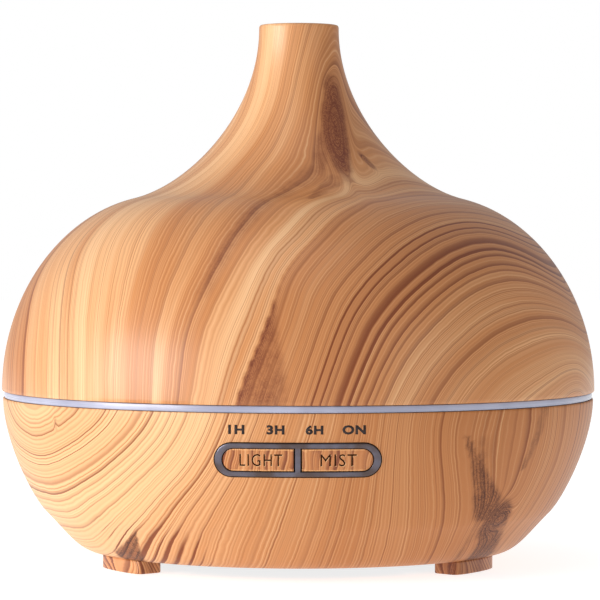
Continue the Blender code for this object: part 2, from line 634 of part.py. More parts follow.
# Button frame and the two buttons, all shaped from slices of the bowl's own side
frameFront = -bodyRadius - 5
frameBack = -frontRadius + 16
bezel = prism("button_frame", pill(frameWidth, frameHeight), frameFront, frameBack, home=pieces, lying=True)
combine(bezel, skin("frame_skin", frameProud, -3.4), "INTERSECT")
for side, kind in ((-1, "light"), (1, "mist")):
    front = halfPill(side, buttonNear, buttonFar, buttonHeight + slideGap)
    cut(bezel, prism(f"{kind}_opening", front, frameFront, frameBack, lying=True))
    rear = prism(f"{kind}_opening_rear", halfPill(side, buttonNear, buttonFar + 0.8, buttonHeight + 1.9),
                 frameFront, frameBack, lying=True)
    combine(rear, skin(f"{kind}_rear_skin", -1.6, -9.0), "INTERSECT")
    cut(bezel, rear)
    face = halfPill(side, buttonNear + slideGap, buttonFar - slideGap / 2, buttonHeight)
    button = prism(f"{kind}_button", face, frameFront, frameBack, home=pieces, lying=True)
    combine(button, skin(f"{kind}_face_skin", 0.1, -2.5), "INTERSECT")
    wide = halfPill(side, buttonNear + slideGap, buttonFar + 0.4, buttonHeight + 1.3)
    collar = prism(f"{kind}_collar", wide, frameFront, frameBack, lying=True)
    combine(collar, skin(f"{kind}_collar_skin", -1.9, -3.1), "INTERSECT")
    stem = rod(f"{kind}_stem", 1.8, -(frontRadius - 1.8), switchFace - 1.0,
               at=(side * buttonMiddle, frameCentre), steps=12, lying=True)
    join(button, collar, stem)
    finish(button, "wood")
finish(bezel, "chrome")

# Power inlet: a round nose in the pocket, with the contact pin in its bore
jack = blocks("power_inlet", [((-4.6, -6.8, -5.2), (4.6, 0, 5.2))], at=(0, jackBack, inletHeight))
join(jack, rod("inlet_nose", 3.9, jackBack - 1, inletFace + 0.8, at=(0, inletHeight), lying=True))
cut(jack, rod("inlet_socket", 2.8, jackBack - 5.6, inletFace + 3, at=(0, inletHeight), lying=True))
join(jack, rod("inlet_pin", 0.9, jackBack - 6.2, inletFace - 0.4, at=(0, inletHeight), steps=12, lying=True))
finish(jack, "black")

# Wires between the boards, each from its solder joint to its connector
low = innerFloor
plugHeight = low + 5.6             # where a wire enters a connector on the main board


def spread(x, y, z):
    # a point of a route that follows the body's radius
    return x * across, y * across, z


lead("transducer_lead", [
    (2.0, -1.0, discLow - 0.5), (2.1, -2.0, wellFoot - 3.5), (2.6, -9.0, low + 1.5), (3.6, -19.0, low + 1.8),
    spread(4.0, -21.6, low + 4.4), spread(4.0, -24.1, plugHeight)], 0.8, "red")
lead("fan_lead", [
    (-half - 1.2, fanAway - 13, fanLow + 3), (-half - 5, fanAway - 20, fanLow + 3),
    (-23.5 * across, 2.0, fanLow + 3), spread(-21.5, -16, low + 5.4), spread(-11.0, -21.0, plugHeight),
    spread(-9.5, -24.1, plugHeight)], 0.8, "black")
lead("button_lead", [
    (0, boardFace + 2.8, frameCentre - 4.5), (0, boardFace + 4.2, tankUnder + 4), spread(0, -62, low + 7.5),
    spread(0, -54, plugHeight), spread(0, -49.7, plugHeight)], 0.9, "white")
lead("power_lead", [
    (5.9, jackBack - 4, inletHeight - 3.2), (10.0, jackBack - 5.0, inletHeight - 5),
    (20.5, jackBack - 9.5, fanLow + 7), (23.5, 50 * across, fanLow + 5), spread(26.0, 24, fanLow + 4),
    spread(24.5, -6, fanLow + 4), spread(17.0, -17, low + 5.5), spread(13.5, -24.5, low + 5.5),
    spread(13.5, -28.0, partLow + 1.2)], 1.0, "black")
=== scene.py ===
from contextlib import contextmanager
from math import cos, pi, radians, sin

import bmesh
import bpy
import numpy as np
from mathutils import Matrix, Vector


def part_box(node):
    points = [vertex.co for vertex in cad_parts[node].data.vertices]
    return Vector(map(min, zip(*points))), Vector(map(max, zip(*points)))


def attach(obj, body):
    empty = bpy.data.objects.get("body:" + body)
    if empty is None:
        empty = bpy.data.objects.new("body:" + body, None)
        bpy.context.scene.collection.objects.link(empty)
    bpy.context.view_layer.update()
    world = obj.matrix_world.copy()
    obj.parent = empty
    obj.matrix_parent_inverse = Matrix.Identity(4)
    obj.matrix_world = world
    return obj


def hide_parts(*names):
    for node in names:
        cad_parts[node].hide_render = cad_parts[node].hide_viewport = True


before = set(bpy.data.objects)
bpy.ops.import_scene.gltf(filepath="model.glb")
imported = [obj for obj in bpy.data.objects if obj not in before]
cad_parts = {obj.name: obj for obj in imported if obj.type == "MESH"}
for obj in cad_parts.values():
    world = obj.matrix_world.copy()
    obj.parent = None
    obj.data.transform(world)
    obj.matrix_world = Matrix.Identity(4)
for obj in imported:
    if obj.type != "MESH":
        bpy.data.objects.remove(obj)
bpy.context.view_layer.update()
scene = bpy.context.scene
mm = 0.001


def boxOf(node):
    return [np.array(corner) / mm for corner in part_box(node)]


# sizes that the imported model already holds, in millimetres
shellLow, shellHigh = boxOf("cover_shell")
bowlLow, bowlHigh = boxOf("base_housing")
ringLow, ringHigh = boxOf("light_ring")
bezelLow, bezelHigh = boxOf("button_frame")
inletLow, inletHigh = boxOf("power_inlet")
tankHigh, hoodHigh = boxOf("water_tank")[1], boxOf("mist_hood")[1]
bodyRadius, coverFoot, neckTop = shellHigh[0], shellLow[2], shellHigh[2]
bowlRadius, seamHeight, bowlFoot = bowlHigh[0], bowlHigh[2], bowlLow[2]
across = bodyRadius / 84
frameCentre = (bezelLow[2] + bezelHigh[2]) / 2
inletHeight = (inletLow[2] + inletHigh[2]) / 2

camera = {"lens": 194.93, "at": (0.00047, -0.924, 0.0967), "tip": 88.61, "roll": 0.131}
light = {"sky": 0.42, "key": 10.2, "keySize": 0.7, "fill": 1.0, "top": 1.3, "floorGlow": 0.8}


# every surface is worked out as whole arrays, in millimetres
def bezier(start, startHandle, endHandle, end, count):
    # cubic Bezier: sum of the four points times (1-t)^3, 3t(1-t)^2, 3t^2(1-t), t^3
    t = np.linspace(0, 1, count)[:, None]
    a, b, c, d = (np.array(p, float) for p in (start, startHandle, endHandle, end))
    return (1 - t) ** 3 * a + 3 * (1 - t) ** 2 * t * b + 3 * (1 - t) * t * t * c + t**3 * d


def inset(outline, distance):
    # every point of a downward outline moved towards the axis along its normal
    along = np.gradient(np.asarray(outline, float), axis=0)
    along /= np.linalg.norm(along, axis=1)[:, None]
    return outline + distance * np.stack([along[:, 1], -along[:, 0]], axis=1)


def coverOutline(count):
    # neck to shoulder and shoulder to foot, two Beziers that share the shoulder's slope
    lean = np.array([cos(radians(13.8)), -sin(radians(13.8))])
    tall = (neckTop - coverFoot) / 103.5
    rim = np.array([11.3, neckTop - 1.1])
    shoulder = np.array([0.555 * bodyRadius, coverFoot + 0.524 * (neckTop - coverFoot)])
    foot = np.array([bodyRadius, coverFoot])
    upper = bezier(rim, rim - [0, 24 * tall], shoulder - 16.1 * across * lean, shoulder, count)
    lower = bezier(shoulder, shoulder + 22.3 * across * lean, foot + [0, 25.9 * tall], foot, count)
    return np.vstack([upper, lower[1:]])


def bowlOutline(count, underCount=12):
    # seam to haunch and haunch to the flat floor, two Beziers that share a 45 degree lean
    deep = (seamHeight - bowlFoot) / 42.9
    lean = -np.array([cos(radians(44.7)), sin(radians(44.7))])
    top = np.array([bowlRadius, seamHeight])
    haunch = np.array([0.851 * bodyRadius, bowlFoot + 0.254 * (seamHeight - bowlFoot)])
    edge = np.array([0.693 * bodyRadius, bowlFoot])
    side = bezier(top, top - [0, 11.7 * deep], haunch - 5.7 * across * lean, haunch, count)
    under = bezier(haunch, haunch + 7 * across * lean, edge + [4.3 * across, 0], edge, underCount)
    return np.vstack([side, under[1:]])


def radiusAt(outline, height):
    # an outline's radius at a height, straight between its points
    order = np.argsort(outline[:, 1])
    return np.interp(height, outline[order, 1], outline[order, 0])


coverLine, bowlLine = coverOutline(90), bowlOutline(90)


def gridMesh(name, grid, loopRows=True):
    # quads between neighbours of a (rows, columns, 3) grid whose columns close on themselves,
    # turned so that the volume they enclose comes out positive
    rows, columns = grid.shape[:2]
    i = np.arange(rows if loopRows else rows - 1)[:, None]
    j = np.arange(columns)[None, :]
    down, right = (i + 1) % rows, (j + 1) % columns
    corners = [i * columns + j, i * columns + right, down * columns + right, down * columns + j]
    quads, points = np.stack([c.ravel() for c in corners], axis=1), grid.reshape(-1, 3)
    a, b, c, d = (points[quads[:, k]] for k in range(4))
    volume = np.einsum("ij,ij->i", a, np.cross(b, c)).sum() + np.einsum("ij,ij->i", a, np.cross(c, d)).sum()
    if volume < 0:
        quads = quads[:, ::-1]
    data = bpy.data.meshes.new(name)
    data.vertices.add(len(points))
    data.vertices.foreach_set("co", (points * mm).astype(np.float32).ravel())
    data.loops.add(quads.size)
    data.loops.foreach_set("vertex_index", quads.astype(np.int32).ravel())
    data.polygons.add(len(quads))
    data.polygons.foreach_set("loop_start", np.arange(0, quads.size, 4, dtype=np.int32))
    data.update(calc_edges=True)
    return data


@contextmanager
def opened(data):
    # a mesh as editable faces, written back afterwards
    body = bmesh.new()
    body.from_mesh(data)
    yield body
    body.to_mesh(data)
    body.free()


def closePoles(data):
    # a row of points that share one place becomes a single point
    with opened(data) as body:
        bmesh.ops.remove_doubles(body, verts=body.verts, dist=2e-7)
        bmesh.ops.dissolve_degenerate(body, edges=body.edges, dist=1e-8)
    return data


def turned(name, outline, steps, at=(0, 0), axes=(0, 1, 2)):
    # point(k, a) = (r_k cos a, r_k sin a, z_k) for a closed outline of (r, z); axes (0, 2, 1) lays it along Y
    outline = np.asarray(outline, float)
    angle = np.linspace(0, 2 * pi, steps, endpoint=False)
    r, z = outline[:, :1], outline[:, 1:]
    grid = np.stack([at[0] + r * np.cos(angle), at[1] + r * np.sin(angle), z + 0 * angle], axis=-1)
    data = gridMesh(name, grid[..., axes])
    return closePoles(data) if outline[:, 0].min() < 1e-6 else data


def rounded(corners, radius, count=4):
    # each corner of a closed outline replaced by a small arc (a quadratic Bezier)
    corners = np.asarray(corners, float)
    before, after = np.roll(corners, 1, axis=0) - corners, np.roll(corners, -1, axis=0) - corners
    reach = lambda way: np.linalg.norm(way, axis=1)[:, None]
    size = np.minimum(radius, 0.45 * np.minimum(reach(before), reach(after)))
    start, end = corners + before / reach(before) * size, corners + after / reach(after) * size
    t = np.linspace(0, 1, count)[None, :, None]
    arcs = (1 - t) ** 2 * start[:, None] + 2 * t * (1 - t) * corners[:, None] + t * t * end[:, None]
    return arcs.reshape(-1, corners.shape[1])


def onBowl(x, z, outward):
    # a point (x, z) of the front, pushed onto the bowl's skin and then outward along its radius
    r = radiusAt(bowlLine, z) + outward
    return np.stack([x, -np.sqrt(r * r - x * x), z], axis=-1)


def objectOf(name, data, body, material, replaced=(), smooth=40):
    obj = bpy.data.objects.new(name, data)
    scene.collection.objects.link(obj)
    if not data.materials:
        data.materials.append(material)
    if smooth:
        data.polygons.foreach_set("use_smooth", [True] * len(data.polygons))
        data.set_sharp_from_angle(angle=radians(smooth))
    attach(obj, body)
    if replaced:
        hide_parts(*replaced)
    return obj


def joined(name, *meshes):
    # several closed shells in one mesh
    body = bmesh.new()
    for data in meshes:
        body.from_mesh(data)
        bpy.data.meshes.remove(data)
    whole = bpy.data.meshes.new(name)
    body.to_mesh(whole)
    body.free()
    return whole


def carve(data, cutter, how="DIFFERENCE"):
    # one Boolean, applied, both meshes used up
    target, tool = bpy.data.objects.new("target", data), bpy.data.objects.new("tool", cutter)
    for obj in (target, tool):
        scene.collection.objects.link(obj)
    change = target.modifiers.new("carve", "BOOLEAN")
    change.operation, change.solver, change.object = how, "EXACT", tool
    made = bpy.data.meshes.new_from_object(target.evaluated_get(bpy.context.evaluated_depsgraph_get()))
    for obj in (target, tool):
        bpy.data.objects.remove(obj)
    made.name = data.name
    bpy.data.meshes.remove(data)
    bpy.data.meshes.remove(cutter)
    return made


def readAll(items, key, width, kind=np.float32):
    values = np.empty(len(items) * width, kind)
    items.foreach_get(key, values)
    return values.reshape(-1, width)


def pointsOf(data):
    return readAll(data.vertices, "co", 3).astype(float) / mm


def giveValues(data, **values):
    for name, value in values.items():
        layer = data.attributes.new(name, "FLOAT", "POINT")
        layer.data.foreach_set("value", np.asarray(value, np.float32))


class Wire:
    # a node's output that Python's operators can be used on
    def __init__(self, paint, socket):
        self.paint, self.socket = paint, socket

    def floor(self): return self.paint.maths("FLOOR", self)
    def fract(self): return self.paint.maths("FRACT", self)
    def sine(self): return self.paint.maths("SINE", self)
    def clamped(self): return self.paint.node("Clamp", {}, Value=self)

    def step(self, low, high):
        # 0 below low, 1 above high and a smooth S between them
        values = {"Value": self, "From Min": low, "From Max": high}
        return self.paint.node("MapRange", {"interpolation_type": "SMOOTHSTEP"}, **values)


for sign, operation in (("add", "ADD"), ("sub", "SUBTRACT"), ("mul", "MULTIPLY")):
    setattr(Wire, f"__{sign}__", lambda a, b, operation=operation: a.paint.maths(operation, a, b))
    setattr(Wire, f"__r{sign}__", lambda a, b, operation=operation: a.paint.maths(operation, b, a))


class Paint:
    # a material in the making, with its Principled shader
    def __init__(self, name, **constants):
        self.material = bpy.data.materials.new(name)
        self.material.use_nodes = True
        self.tree = self.material.node_tree
        self.shader = self.tree.nodes["Principled BSDF"]
        for socket, value in constants.items():
            self.shader.inputs[socket.replace("_", " ")].default_value = value

    def node(self, kind, settings, output=0, **values):
        made = self.tree.nodes.new("ShaderNode" + kind)
        for key, value in settings.items():
            setattr(made, key, value)
        for key, value in values.items():
            self.feed(made.inputs[key.replace("_", " ") if key not in made.inputs else key], value)
        return Wire(self, made.outputs[output])

    def feed(self, socket, value):
        if isinstance(value, Wire):
            self.tree.links.new(value.socket, socket)
        elif isinstance(value, (tuple, list)) and socket.type == "RGBA" and len(value) == 3:
            socket.default_value = (*value, 1)
        else:
            socket.default_value = value

    def maths(self, operation, *values):
        made = self.tree.nodes.new("ShaderNodeMath")
        made.operation = operation
        for socket, value in zip(made.inputs, values):
            self.feed(socket, value)
        return Wire(self, made.outputs[0])

    def vector(self, operation, a, b):
        made = self.tree.nodes.new("ShaderNodeVectorMath")
        made.operation = operation
        self.feed(made.inputs[0], a)
        self.feed(made.inputs[1], b)
        return Wire(self, made.outputs[0])

    def mix(self, factor, a, b, blend="MIX"):
        made = self.tree.nodes.new("ShaderNodeMix")
        made.data_type, made.blend_type = "RGBA", blend
        colours = [socket for socket in made.inputs if socket.type == "RGBA"]
        self.feed(made.inputs[0], factor)
        self.feed(colours[0], a)
        self.feed(colours[1], b)
        return Wire(self, next(socket for socket in made.outputs if socket.type == "RGBA"))

    def here(self):
        return self.node("TexCoord", {}, output="Object")

    def parts(self, vector):
        split = self.tree.nodes.new("ShaderNodeSeparateXYZ")
        self.feed(split.inputs[0], vector)
        return [Wire(self, socket) for socket in split.outputs]

    def pack(self, x, y, z):
        return self.node("CombineXYZ", {}, X=x, Y=y, Z=z)

    def noise(self, vector, scale, detail=2.0, rough=0.5, twist=0.0):
        return self.node("TexNoise", {}, Vector=vector, Scale=scale, Detail=detail, Roughness=rough,
                         Distortion=twist)

    def chance(self, value):
        return self.node("TexWhiteNoise", {"noise_dimensions": "1D"}, W=value)

    def value(self, name):
        return self.node("Attribute", {"attribute_name": name}, output="Fac")

    def bump(self, height, strength, distance):
        return self.node("Bump", {}, Height=height, Strength=strength, Distance=distance * mm)

    def end(self, **links):
        for socket, value in links.items():
            self.feed(self.shader.inputs[socket.replace("_", " ")], value)
        return self.material


def srgb(red, green, blue):
    # display values 0-255 to the linear ones that sockets take
    c = np.array([red, green, blue]) / 255
    return tuple(np.where(c <= 0.04045, c / 12.92, ((c + 0.055) / 1.055) ** 2.4))


# wood print: ring numbers are worked out on the mesh, and the shader draws each ring
woodLook = {
    "pale": srgb(236, 188, 138), "honey": srgb(214, 146, 88), "toast": srgb(172, 108, 64),
    "late": srgb(126, 64, 30), "knot": srgb(112, 52, 28), "fineLight": srgb(244, 202, 152),
    "finePerRing": 4.0, "roughness": 0.42, "patches": 2.6, "lateFrom": 0.15,
    "coat": 0.4, "shine": 0.3,
}


def woodPrint(name, look, strength=1.0):
    paint = Paint(name, IOR=1.45, Specular_IOR_Level=look["shine"], Coat_Weight=look["coat"],
                  Coat_Roughness=0.27, Coat_IOR=1.45)
    here = paint.here()
    grain, depth, toast, stain = (paint.value(key) for key in ("grain", "depth", "toast", "stain"))
    x, y, z = paint.parts(here)
    # the rings wander a little, more slowly along the fibres than across them
    wander = paint.noise(here, 42, 3, 0.5) - 0.5
    quiver = paint.noise(here, 260, 2, 0.5) - 0.5
    ring = grain + wander * 0.5 + quiver * 0.07
    # some years grow wide and some narrow: the ring number runs fast and slow along itself
    ring = ring + paint.noise(paint.pack(ring * 0.42, 0.0, 0.0), 1.0, 1, 0.5) * 2.2
    level = ring.floor()
    part = ring.fract()
    luck, width = paint.chance(level), paint.chance(level + 57.3)
    late = part.step(look["lateFrom"] + width * 0.5, 0.92) * (1 - part.step(0.92, 1.0))
    # fine growth lines between them, each of its own darkness
    fineRing = ring * look["finePerRing"] + quiver * 0.3
    finePart = fineRing.fract()
    fineLuck = paint.chance(fineRing.floor() + 11.7)
    fine = finePart.step(0.2 + fineLuck * 0.3, 0.75) * (1 - finePart.step(0.8, 1.0))
    # streaks: noise that is quick across the rings and slow along them
    along = paint.pack(ring * 0.55, x * 9, z * 9)
    broad = paint.noise(along, 1.0, 3, 0.55)
    fibre = paint.noise(paint.pack(ring * 9, x * 26, z * 26), 1.0, 2, 0.6)
    warm = paint.mix(((broad - 0.36) * look["patches"] + toast * 1.2).clamped(), look["pale"], look["honey"])
    warm = paint.mix((toast + (broad - 0.5) * look["patches"] * 0.3).clamped() * 0.9, warm, look["toast"])
    warm = paint.mix(fine * (0.2 + fineLuck * fineLuck * 0.9) * (1 - stain) * 0.8 * strength, warm,
                     paint.mix(0.5, look["honey"], look["late"]))
    pale = finePart.step(0.0, 0.2) * (1 - finePart.step(0.2, 0.36))
    warm = paint.mix(pale * fineLuck * 0.34 * (1 - stain), warm, look["fineLight"])
    inked = depth * (0.16 + luck * luck * 1.05) + (depth - 0.75).clamped() * 1.1
    banded = paint.mix((late * inked * strength).clamped(), warm, look["late"])
    # knots and stains darken the rings but leave them readable
    cloud = paint.noise(here, 210, 4, 0.62)
    ragged = (stain + (cloud - 0.5) * 0.6 * stain.step(0.03, 0.3)).step(0.08, 0.78)
    dark = (ragged * (0.72 + cloud * 0.4) * (0.62 + stain * 0.5)).clamped()
    curl = paint.noise(paint.pack(x * 1.7, y * 1.7, z), 240, 2, 0.5, 3.0) * 5
    lines = curl.fract().step(0.25, 0.6) * (1 - curl.fract().step(0.8, 1.0))
    swirl = (fine * 0.45 + late * 0.4 + 0.2 + lines * 0.5).clamped()
    inKnot = paint.mix(swirl, paint.mix(0.1, look["toast"], look["late"]), look["knot"])
    colour = paint.mix(dark, banded, inKnot)
    colour = paint.mix((fibre - 0.5).clamped() * 0.45, colour, look["late"])
    rough = look["roughness"] + (fibre - 0.5) * 0.12 + dark * 0.06
    relief = fine * 0.25 - late * depth * 0.5 + fibre * 0.35
    return paint.end(Base_Color=colour, Roughness=rough, Normal=paint.bump(relief, 0.12, 0.12))


# ring numbers along lines drawn over the cover, as (angle from the front, height)
coverRings = {
    -38: [(-76, 98), (-78, 86), (-65, 69.5), (-62, 50.5)],
    -28: [(-65, 142), (-53, 131), (-56, 116.5), (-62.5, 107), (-68.5, 101), (-59, 88), (-50, 70),
          (-46.5, 50)],
    -19: [(-25, 142), (-29.5, 128), (-36.5, 113.5), (-35, 104), (-33, 89), (-31, 73), (-30.5, 52)],
    -17: [(-2, 142), (-10, 128), (-19.5, 116.5), (-25.5, 105), (-26.5, 91.5), (-29, 78.5), (-30, 63)],
    -15: [(26, 146), (-1.5, 136), (-12, 122), (-20, 110.5)],
    -14.3: [(72, 148), (33, 143.5), (16, 137.5)],
    -13: [(16.5, 110), (8.5, 109), (-6, 104.5), (-13.5, 98), (-17.5, 86.5), (-20.5, 73.5), (-22, 65.5)],
    -10: [(77.5, 109), (22.5, 105), (-0.5, 94), (-10, 80.5), (-15.5, 64.5), (-17, 51.5)],
    -6.6: [(0, 73.5), (-4.5, 66), (-9, 55), (-11, 49)],
    -1.4: [(1, 78.5), (0.5, 68.5), (-1, 58), (-2.5, 49)],
    -1: [(0, 58), (2.5, 71), (10, 84), (21, 94), (42, 100), (60.5, 100), (83.5, 97)],
    1.8: [(3, 50), (8, 71), (16.5, 84), (28.5, 92), (49, 96.5), (68.5, 93), (72, 85.5), (137, 52)],
    6.7: [(11, 50), (18.5, 69.5), (32, 82.5), (50.5, 88.5), (74, 85.5), (77.5, 75), (129, 52)],
    13.8: [(22.5, 49.5), (34, 63), (48.5, 70.5), (63, 70.5), (78.5, 66), (117, 52)],
    23.8: [(39, 49), (53.5, 55.5), (79.5, 52), (101, 49)],
    33: [(66, 49)],
    -16: [(120, 147), (110, 120), (125, 106)],
    -9: [(107, 101), (143, 66)],
    -22: [(180, 147), (175, 118), (168, 92), (158, 52)],
    -34: [(-130, 147), (-160, 118), (-177, 92), (176, 52)],
    -50: [(-110, 122), (-150, 96), (-165, 52)],
    -64: [(-122, 102), (-138, 76), (-145, 52)],
    -58: [(-104, 92), (-104, 72), (-102, 50)],
    -46: [(-88, 92), (-84, 72), (-80, 50)],
}
# how strongly the rings are marked, and how toasted the wood is, from ring to ring
coverMarks = {
    "ring": [-45, -38.5, -37, -33, -29, -27, -24, -20.5, -18.5, -15, -13.6, -12, -11, -9, -6.7, -6.4, -1.5,
             0, 2, 5, 8, 12, 14, 18, 24, 30, 37],
    "depth": [.4, .8, .3, .25, .6, .25, .2, .5, .3, .5, .7, .6, .3, .2, .3, .8, .8, .9, 1.1, 1.15, 1.0, .6,
              .6, .3, .4, .8, .7],
    "toast": [.3, .75, .05, -.1, .3, -.1, -.1, .1, .5, .2, .65, .5, .2, .15, .2, .6, .6, .62, .68, .62, .55,
              .45, .5, .38, .3, .4, .5],
}


def ringField(rings, outline, ease=9.0, blur=9.0):
    # a smooth field through the drawn lines: a sum of softened distances sqrt(d^2 + blur^2) plus a plane
    spots = np.array([(a, z, value) for value, line in rings.items() for a, z in line], float)
    a, z = np.radians(spots[:, 0]), spots[:, 1]
    centres = np.stack([radiusAt(outline, z) * np.sin(a), -radiusAt(outline, z) * np.cos(a), z], axis=-1)
    plane = np.hstack([np.ones((len(centres), 1)), centres])
    far = np.sqrt(((centres[:, None] - centres[None]) ** 2).sum(axis=2) + blur**2)
    whole = np.block([[far - ease * np.eye(len(centres)), plane], [plane.T, np.zeros((4, 4))]])
    weights = np.linalg.solve(whole, np.concatenate([spots[:, 2], np.zeros(4)]))

    def field(points):
        square = (points**2).sum(1)[:, None] + (centres**2).sum(1)[None] - 2 * points @ centres.T
        flat = np.hstack([np.ones((len(points), 1)), points]) @ weights[-4:]
        return np.sqrt(np.maximum(square, 0) + blur**2) @ weights[:-4] + flat

    return field


def polar(points):
    # angle from the front in degrees, and height
    return np.degrees(np.arctan2(points[:, 0], -points[:, 1])), points[:, 2]


def spot(points, outline, angle, height, wide, high, lean=0.0):
    # distance from a knot's centre over its half sizes, in the plane that faces it: 1 is its edge
    out = np.array([sin(radians(angle)), -cos(radians(angle))])
    flat = points[:, :2] - radiusAt(outline, height) * out
    u, v = flat @ [-out[1], out[0]], points[:, 2] - height
    u, v = u * cos(radians(lean)) - v * sin(radians(lean)), u * sin(radians(lean)) + v * cos(radians(lean))
    behind = 9.0 * (points[:, :2] @ out < 0)
    return np.sqrt((u / wide) ** 2 + (v / high) ** 2) + behind


def smooth(value, low, high):
    # 0 below low, 1 above high, 3t^2 - 2t^3 between
    t = np.clip((value - low) / (high - low), 0, 1)
    return t * t * (3 - 2 * t)


coverKnots = [  # angle, height, half width, half height, lean, rings inside, darkness
    (29, 122.5, 3.9, 15.5, 17, 6, 1.0), (41, 113.5, 1.3, 3.0, -22, 1.0, 0.7),
    (15, 117, 2.6, 9.5, 24, 0.6, 0.5), (40, 134.5, 3.2, 4.2, 20, 0.6, 0.6),
]
bowlKnots = [(47.5, 16.2, 5.2, 5.8, 8, 3.5, 1.0), (-51.5, 42.2, 1.0, 2.2, 10, 0.4, 0.45)]
# dark tapers between two places: angle, height and half width at each end, darkness
coverTapers = [(16, 108, 3.2, 4, 103, 1.2, 0.6), (4, 103, 1.2, -14, 96, 1.0, 0.35)]
bowlTapers = [(32.3, 40, 0.9, 42.5, 20.2, 5.2, 0.78), (49, 14, 4.6, 54.5, 4.5, 6.0, 0.95),
              (-38.5, 13, 0.4, -48, 4.6, 5.4, 1.0), (52.5, 46, 2.6, 49, 31, 1.4, 0.5)]


def knotted(points, outline, rings, knots):
    # each knot adds a bell to the ring numbers, which closes rings round it, and stains its middle
    stain = np.zeros(len(points))
    for angle, height, wide, high, lean, inside, dark in knots:
        away = spot(points, outline, angle, height, wide, high, lean)
        rings = rings + inside * np.exp(-1.4 * away**2)
        stain = np.maximum(stain, dark * (1 - smooth(away, 0.55, 1.35)))
    return rings, stain


def tapered(points, outline, tapers):
    # distance from a straight line between two places on the skin, over a half width that changes along it
    stain = np.zeros(len(points))
    for *first, dark in tapers:
        ends = [np.array([radiusAt(outline, z) * sin(radians(a)), -radiusAt(outline, z) * cos(radians(a)), z])
                for a, z in (first[:2], first[3:5])]
        way = ends[1] - ends[0]
        t = np.clip((points - ends[0]) @ way / (way @ way), 0, 1)
        half = first[2] + (first[5] - first[2]) * t
        away = np.linalg.norm(points - ends[0] - t[:, None] * way, axis=1) / half
        stain = np.maximum(stain, dark * (0.7 + 0.3 * t) * (1 - smooth(away, 0.6, 1.3)))
    return stain


def coverGrain(points):
    # ring numbers from the drawn lines, then knots, the wedge and the streak as stains
    rings = ringField(coverRings, coverLine)(points)
    a, z = polar(points)
    plain = rings
    rings, stain = knotted(points, coverLine, rings, coverKnots)
    front = np.abs(a) < 75
    # the brown wedge by the foot and the streak that runs down from the neck's knot
    tip = -6.2 + 5.4 * (1 - smooth(z, 49, 84)) ** 1.5
    wedge = smooth(plain, -6.9, -6.5) * (1 - smooth(plain - tip, -1.2, 0.6)) * (1 - smooth(z, 74, 86)) * front
    wedge = wedge * (0.66 + 0.4 * np.exp(-((plain + 6.4) / 0.4) ** 2))
    streak = np.exp(-((plain + 13) / 0.85) ** 2) * smooth(z, 64, 84) * (1 - smooth(z, 108, 116)) * front
    stain = np.maximum.reduce([stain, 0.8 * wedge, 0.5 * streak, tapered(points, coverLine, coverTapers)])
    depth = np.interp(plain, coverMarks["ring"], coverMarks["depth"])
    toast = np.interp(plain, coverMarks["ring"], coverMarks["toast"])
    return dict(grain=rings, depth=depth, toast=toast, stain=stain)


bowlRings = {
    0: [(-41.5, 46.5), (-50.5, 40.5), (-58.5, 37), (-68, 39)],
    5: [(-27.5, 46.5), (-37.5, 36), (-55, 26.5), (-68, 25.5)],
    10: [(-18, 46), (-29, 31), (-45.5, 19), (-70, 13.5)],
    12.5: [(-17, 46), (-21.5, 31.5), (-31.5, 20), (-41, 12.8), (-56, 5)],
    15: [(-28.5, 20), (-36, 13), (-43, 7), (-45.5, 4)],
    17: [(-23, 20), (-30, 10.5), (-35, 4.2)],
    19: [(-7.5, 45.5), (-10.5, 37), (-16.5, 23.5), (-25.5, 5)],
    25.5: [(4, 45), (0.5, 29.5), (-1.5, 18.5), (-5.5, 6)],
    31: [(12, 45), (9, 28), (8, 15.5), (5, 5.5)],
    38.5: [(18.5, 45), (20.5, 29), (26, 6)],
    43: [(26.5, 44.5), (30.5, 28.5), (35, 5.5)],
    47: [(33, 39), (37.5, 28), (44, 19), (46.5, 4.5)],
    50: [(52.5, 46), (51.5, 35.5), (47.5, 27.5)],
    55: [(58, 45.5), (63, 31.5), (60, 16), (56, 6)],
    60: [(74, 42), (74, 33), (73, 19)],
    66: [(100, 45), (98, 20)],
    58: [(135, 45), (130, 20)],
    40: [(175, 45), (170, 20)],
    22: [(-145, 45), (-150, 20)],
    8: [(-108, 45), (-105, 20)],
    2: [(-82, 44)],
    -3: [(-60, 46.5)],
}
bowlMarks = {
    "ring": [-5, 0, 5, 10, 12.5, 15, 18, 25, 31, 38, 43, 46, 48, 50, 52, 55, 60, 66],
    "depth": [.7, .8, .75, .7, .7, .6, .55, .6, .6, .55, .65, .8, .8, .8, .7, .8, 1, .9],
    "toast": [.0, .05, .0, .0, .05, .15, .35, .5, .62, .68, .75, .8, .8, .85, .7, .65, .8, .65],
}


def bowlGrain(points):
    # the same for the bowl, with a streak down the right and the marks by its feet
    rings = ringField(bowlRings, bowlLine)(points)
    depth = np.interp(rings, bowlMarks["ring"], bowlMarks["depth"])
    toast = np.interp(rings, bowlMarks["ring"], bowlMarks["toast"])
    streak = np.exp(-((rings - 47) / 0.7) ** 2) * (1 - smooth(points[:, 2], 38, 42)) * (points[:, 1] < 0)
    a, z = polar(points)
    # stronger lines that fan out beside the left foot
    depth = depth + 0.9 * (1 - smooth(z, 7, 19)) * smooth(a, -52, -46) * (1 - smooth(a, -27, -18))
    rings, stain = knotted(points, bowlLine, rings, bowlKnots)
    return dict(grain=rings, depth=depth, toast=toast,
                stain=np.maximum.reduce([stain, 0.4 * streak, tapered(points, bowlLine, bowlTapers)]))


